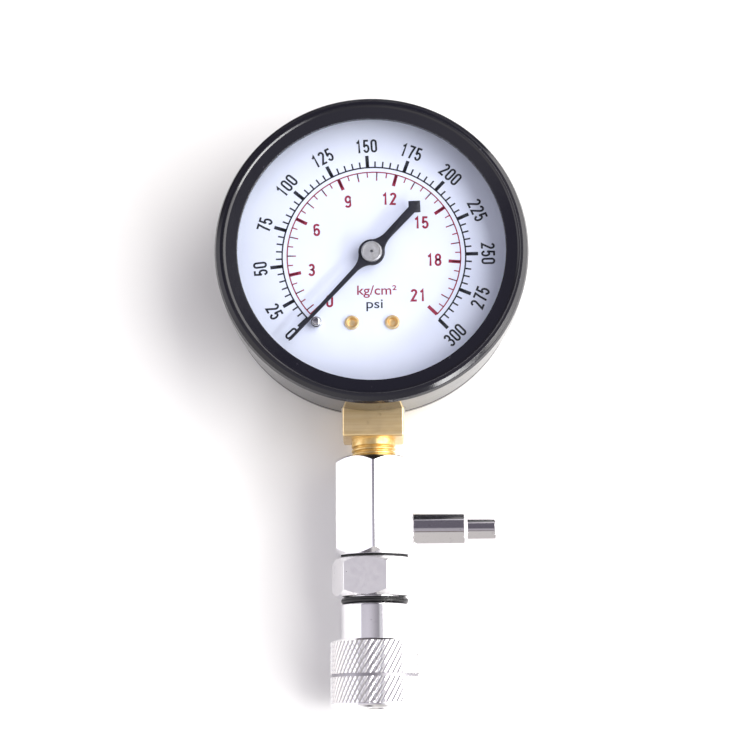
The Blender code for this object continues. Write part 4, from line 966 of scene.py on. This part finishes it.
# Quick coupler body
# Turned from hexagon bar and chromed: a wrench hexagon, a neck for the rubber ring, a smooth barrel
# that the sleeve slides on, and a nose bored for the hose's plug.
coupler_outline = hexagon(math.radians(-16.1), 0.25)
COUPLER_START = 68.92
HEX_END = 77.65
coupler_shape = bmesh.new()
coupler_profile = rounded([
    (6.0, HEX_END), (6.0, 79.4), (8.0, 79.4, 0.35), (8.0, 89.0, 0.35), (6.6, 89.0), (6.6, 99.47),
    (6.1, 99.47), (6.1, 100.23), (6.6, 100.23), (6.6, 101.6, 0.35), (4.7, 101.6), (4.2, 101.1),
    (4.2, 86.6),
], 5)
skin(
    coupler_shape,
    [[stem_point(0, 0, 75.15)]]
    + round_rings(coupler_outline, [(4.95, 75.15), (4.95, COUPLER_START)])
    + hex_rings(coupler_outline, COUPLER_START, HEX_END, 40, 42)
    + round_rings(coupler_outline, coupler_profile)
    + [[stem_point(0, 0, 86.6)]],
)
coupler = finished("coupler_body_turned", coupler_shape, satin_chrome)
ball_holes = []
for name, turn in (("across", math.pi / 2), ("upright", 0.0)):
    where = Matrix.Translation((0, -97.0, STEM_HEIGHT)) @ Matrix.Rotation(turn, 4, "Y")
    hole = [(0, 7.6), (1.64, 7.6), (1.64, -7.6), (0, -7.6)]
    ball_holes.append(turned(f"ball_hole_{name}", hole, steps=32, place=where))
feed = turned("coupler_feed", [(0, 88), (2, 88), (2, 74), (0, 74)], steps=40, place=DOWN_STEM)
carve(coupler, feed, *ball_holes)
# The turned part has the clean mirror of the body
coupler.data.materials.append(polished_chrome)
for face in coupler.data.polygons:
    if face.center.y < -(HEX_END - 0.2) * MM:
        face.material_index = 1
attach(coupler, "gauge")
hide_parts("coupler_body")


# Rubber rings
# A thin washer between the two hexagons, an O-ring that cushions the sleeve when it is drawn back,
# and two seals inside.
bumper_rubber = rubber("glossy_nitrile_rubber", "#08080a", 0.32)
bumper_profile = rounded([
    (6.08, 77.8), (7.65, 77.8, 0.7), (7.65, 79.25, 0.7), (6.08, 79.25),
], 8)
bumper = turned("bumper_ring", bumper_profile, bumper_rubber, 96, DOWN_STEM, True)
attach(bumper, "gauge")
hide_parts("coupler_bumper")
washer_profile = rounded([
    (4.95, 68.35), (7.68, 68.35, 0.1), (7.68, 68.9, 0.1), (4.95, 68.9),
], 3)
washer = turned("joint_washer", washer_profile, gasket_rubber, 96, DOWN_STEM, True)
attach(washer, "gauge")
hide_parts("joint_gasket")
dress(gasket_rubber, "relief_seal", "coupler_seal")


# Sleeve
# A chromed steel sleeve that slides back to free the hose. It is turned, then knurled with two
# crossed rows of fine lines in two bands, with a plain groove between them and chamfered rims.
SLEEVE_START = 87.3
SLEEVE_END = 102.6
GROOVE_START = 95.05
GROOVE_END = 95.7
KNURL_RADIUS = 10.02
KNURL_COLUMNS = 54
KNURL_ROW = 1.03


def knurled_chrome():
    """Bright chrome on a knurl, with painted shade down the grooves, which are coloured greyer and made
    rougher.
    """
    made, tree, place = new_finish("knurled_chrome")
    part = add_node(tree, "ShaderNodeSeparateXYZ", {"Vector": place}).outputs
    above = {0: part["Z"], 1: STEM_HEIGHT * MM}
    height = add_node(tree, "ShaderNodeMath", above, operation="SUBTRACT")
    flat = add_node(tree, "ShaderNodeCombineXYZ", {"X": part["X"], "Y": height})
    radius = add_node(tree, "ShaderNodeVectorMath", {0: flat}, operation="LENGTH").outputs["Value"]
    deep = between(tree, radius, (KNURL_RADIUS + 0.02) * MM, (KNURL_RADIUS + 0.07) * MM, 1.0, 0.0)
    first = between(tree, part["Y"], -(SLEEVE_START + 0.5) * MM, -(SLEEVE_START + 0.6) * MM)
    last = between(tree, part["Y"], -(SLEEVE_END - 1.15) * MM, -(SLEEVE_END - 1.25) * MM)
    knurled = add_node(tree, "ShaderNodeMath", {0: first, 1: last}, operation="MULTIPLY")
    # Painted shade: the knurl's grooves and the plain groove are coloured grey where shade falls between
    # the points
    painted_groove_shade = add_node(tree, "ShaderNodeMath", {0: deep, 1: knurled}, operation="MULTIPLY")
    tint = blend_colour(tree, painted_groove_shade, linear("#f4f3f5"), linear("#a8a5ac"))
    rough = between(tree, painted_groove_shade, 0.0, 1.0, 0.12, 0.4)
    return surfaced(made, {
        "Base Color": tint, "Metallic": 1.0, "Roughness": rough,
    })


sleeve_chrome = knurled_chrome()
sleeve_profile = rounded([
    (KNURL_RADIUS, SLEEVE_START + 0.5), (9.65, SLEEVE_START, 0.2), (8.09, SLEEVE_START),
    (8.09, 94.85), (6.77, 94.85), (6.77, 99.25), (7.4, 99.25), (7.4, 102.3), (7.7, SLEEVE_END),
    (9.65, SLEEVE_END, 0.2), (10.2, SLEEVE_END - 0.55, 0.15), (10.2, SLEEVE_END - 1.0),
    (KNURL_RADIUS, SLEEVE_END - 1.15), (KNURL_RADIUS, GROOVE_END, 0.08), (9.7, GROOVE_END),
    (9.7, GROOVE_START), (KNURL_RADIUS, GROOVE_START, 0.08),
], 4)
sleeve = turned("sleeve_turned", sleeve_profile, sleeve_chrome, 108, DOWN_STEM, True)
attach(sleeve, "sleeve")
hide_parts("coupler_sleeve")


def knurl_band(start, end):
    """A band of diamond points in staggered rows. Each is low, with a flat top, and the grooves
    that lean one way are wider than those that cross them."""
    half = math.pi * KNURL_RADIUS / KNURL_COLUMNS
    shape = bmesh.new()
    rings = []
    for height, long_share, wide_share in ((-0.04, 1.0, 1.0), (0.16, 0.86, 0.42)):
        ring = []
        for a, b in ((1, 1), (1, -1), (-1, -1), (-1, 1)):
            a, b = a * long_share, b * wide_share
            ring.append((height, (a - b) * half / 2, (a + b) * KNURL_ROW / 2))
        rings.append(ring)
    skin(shape, rings)
    point = finished("knurl_point", shape, None, 10)
    mesh = repeated("knurl", point, sleeve_chrome, {
        "Columns": KNURL_COLUMNS, "Rows": int((end - start) / KNURL_ROW) + 3,
        "Radius": KNURL_RADIUS * MM,
        "First angle": 0.0, "Turn": 2 * math.pi / KNURL_COLUMNS, "Stagger": 0.5,
        "Start": (start - KNURL_ROW / 2) * MM, "Rise": KNURL_ROW * MM,
    })
    trimmed = bmesh.new()
    trimmed.from_mesh(mesh)
    for height, way in ((start, -1), (end, 1)):
        trim(trimmed, (0, 0, height), (0, 0, way))
    trimmed.to_mesh(mesh)
    trimmed.free()
    laid = Matrix.Translation((0, 0, STEM_HEIGHT * MM)) @ Matrix.Rotation(math.pi / 2, 4, "X")
    mesh.transform(laid)
    return mesh


knurl = joined("sleeve_knurl", sleeve_chrome, [
    knurl_band(SLEEVE_START + 0.5, GROOVE_START - 0.02),
    knurl_band(GROOVE_END + 0.02, SLEEVE_END - 1.15),
], 10)
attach(knurl, "sleeve")


# Springs, balls and screws
# Hard drawn wire, polished bearing balls and zinc-plated slotted screws, all from the frame.
spring_steel = turned_metal("hard_drawn_wire", "#b9b9bd", "#8e8e94", 0.26, 0.3, 0.2)
ball_steel = turned_metal("polished_ball_steel", "#d2d2d6", "#b4b4ba", 0.08, 0.5, 0.05)
screw_steel = turned_metal("zinc_plated_steel", "#b4b6ba", "#90949a", 0.34, 0.15, 0.3)
dress(spring_steel, "relief_spring", "sleeve_spring", "sleeve_snap_ring", "hairspring")
dress(ball_steel, *[f"locking_ball_{k}" for k in range(1, 5)])
dress(
    screw_steel, "case_screw_left", "case_screw_right", "movement_screw_left",
    "movement_screw_right", "pillar_screw_1", "pillar_screw_2", "pillar_screw_3",
    "sector_arbor", "pinion_arbor", "link_pin_tip", "link_pin_sector",
)


# Movement and Bourdon tube
# Punched brass plates and gear, tumbled dull, and a phosphor bronze tube that uncurls under
# pressure. All stay as the frame has them.
movement_brass = brushed_brass("punched_brass", "#cfae6c", "#a98a4c", (1.0, 30.0, 1.0))
tube_bronze = brushed_brass("phosphor_bronze", "#c08a5c", "#94643c", (1.0, 1.0, 12.0))
dress(
    movement_brass, "movement_back_plate", "movement_front_plate", "sector_gear", "link",
    "pillar_1", "pillar_2", "pillar_3", "hairspring_collet", "hairspring_stud",
)
dress(tube_bronze, "bourdon_tube", "tube_tip")


# Floor
# A plain pale sheet. The gauge rests on its case's far edge and the sleeve's near rim, so the sheet
# tilts by about a degree in the object's own axes.
def pale_sheet():
    made, tree, place = new_finish("pale_sheet")
    soft = between(tree, grain(tree, place, 60.0, 2.0), 0.3, 0.7)
    tint = blend_colour(tree, soft, linear("#fafafb"), linear("#fcfcfc"))
    return surfaced(made, {
        "Base Color": tint, "Roughness": 0.9, "Specular IOR Level": 0.1,
    })


TILT = 2.30 / 117.9
REACH = 1600.0
sheet_shape = bmesh.new()
corners = [(-REACH, -REACH), (REACH, -REACH), (REACH, REACH), (-REACH, REACH)]
sheet_shape.faces.new([
    sheet_shape.verts.new(Vector((x, y, (y - 30.6) * TILT - 0.02)) * MM) for x, y in corners
])
sheet_mesh = as_mesh("floor", sheet_shape)
sheet_mesh.materials.append(pale_sheet())
floor = placed("floor", sheet_mesh)


# Light
# A white studio, brighter on the left, with a few greyer places that the chrome and the enamel
# mirror. A big soft box stands low on the right, and a narrow one near the front right corner
# draws the thin bright lines on the enamel.
LEFT_SIDE = 1.6
RIGHT_SIDE = 0.75
world = bpy.data.worlds.new("studio")
bpy.context.scene.world = world
world.use_nodes = True
sky = world.node_tree
sky.nodes.clear()
toward = add_node(sky, "ShaderNodeTexCoord").outputs["Generated"]
axis = add_node(sky, "ShaderNodeSeparateXYZ", {"Vector": toward}).outputs


def sky_zone(*spans):
    """One where each value lies inside its span, nothing outside. A span is (value, low, high,
    half the width of its soft edges)."""
    share = 1.0
    for value, low, high, soft in spans:
        for start, end in ((low - soft, low + soft), (high + soft, high - soft)):
            side = between(sky, value, start, end)
            share = add_node(sky, "ShaderNodeMath", {0: share, 1: side}, operation="MULTIPLY")
    return share


# Across and ahead are slopes from straight up
rise = add_node(sky, "ShaderNodeMath", {0: axis["Z"], 1: 0.02}, operation="MAXIMUM")
across = add_node(sky, "ShaderNodeMath", {0: axis["X"], 1: rise}, operation="DIVIDE")
ahead = add_node(sky, "ShaderNodeMath", {0: axis["Y"], 1: rise}, operation="DIVIDE")
over = (across, -1.038, 0.258, 0.05)
zones = (
    # Low in front, low behind, and overhead a grey strip, a thin line beside it and a dark ceiling
    ("#5c585e", (axis["X"], -0.68, -0.08, 0.05), (axis["Z"], -0.07, 0.13, 0.04),
     (axis["Y"], -2.0, -0.75, 0.05)),
    ("#5a5458", (axis["Y"], 0.375, 2.0, 0.125), (axis["Z"], -2.0, 0.375, 0.125)),
    ("#b6b2b9", over, (ahead, -0.32, 0.12, 0.06)),
    ("#7d736c", over, (ahead, -0.285, -0.195, 0.03)),
    ("#6b6772", over, (ahead, 0.11, 1.75, 0.07)),
)
warm = between(sky, axis["Y"], -0.45, -0.02, 1.0, 0.0)
shown = blend_colour(sky, warm, linear("#fbf9ff"), linear("#dad6d3"))
for colour, *spans in zones:
    shown = blend_colour(sky, sky_zone(*spans), shown, linear(colour))
strength = between(sky, axis["X"], -0.45, 0.3, LEFT_SIDE, RIGHT_SIDE)
glow = add_node(sky, "ShaderNodeBackground", {"Color": shown, "Strength": strength})
add_node(sky, "ShaderNodeOutputWorld", {"Surface": glow})

lamps = (
    ("soft_box", 1.3, 0.9, 12.5, "#fffdf8", (0.62, 0.13, 0.46), (0, -0.03, 0.01)),
    ("strip", 0.6, 0.06, 2.2, "#ffffff", (0.53, -0.37, 0.37), (0, 0, 0.02)),
)
for name, width, depth, watts, colour, place, target in lamps:
    light = bpy.data.lights.new(name, "AREA")
    light.shape = "RECTANGLE"
    light.size = width
    light.size_y = depth
    light.energy = watts
    light.color = linear(colour)[:3]
    lamp = placed(name, light)
    lamp.location = place
    aim = Vector(target) - Vector(place)
    lamp.rotation_euler = aim.to_track_quat("-Z", "Y").to_euler()


# Camera
# The photograph's view: from the coupler's end, eleven degrees off straight down.
lens = bpy.data.cameras.new("camera")
lens.lens = 99.09
lens.sensor_width = 36.0
lens.clip_start = 0.01
lens.clip_end = 20.0
camera = placed("camera", lens)
camera.location = Vector((1.76, -113.62, 467.55)) * MM
camera.rotation_euler = [math.radians(v) for v in (11.067, 0.533, -0.450)]
bpy.context.scene.camera = camera
bpy.context.scene.view_settings.view_transform = "Standard"
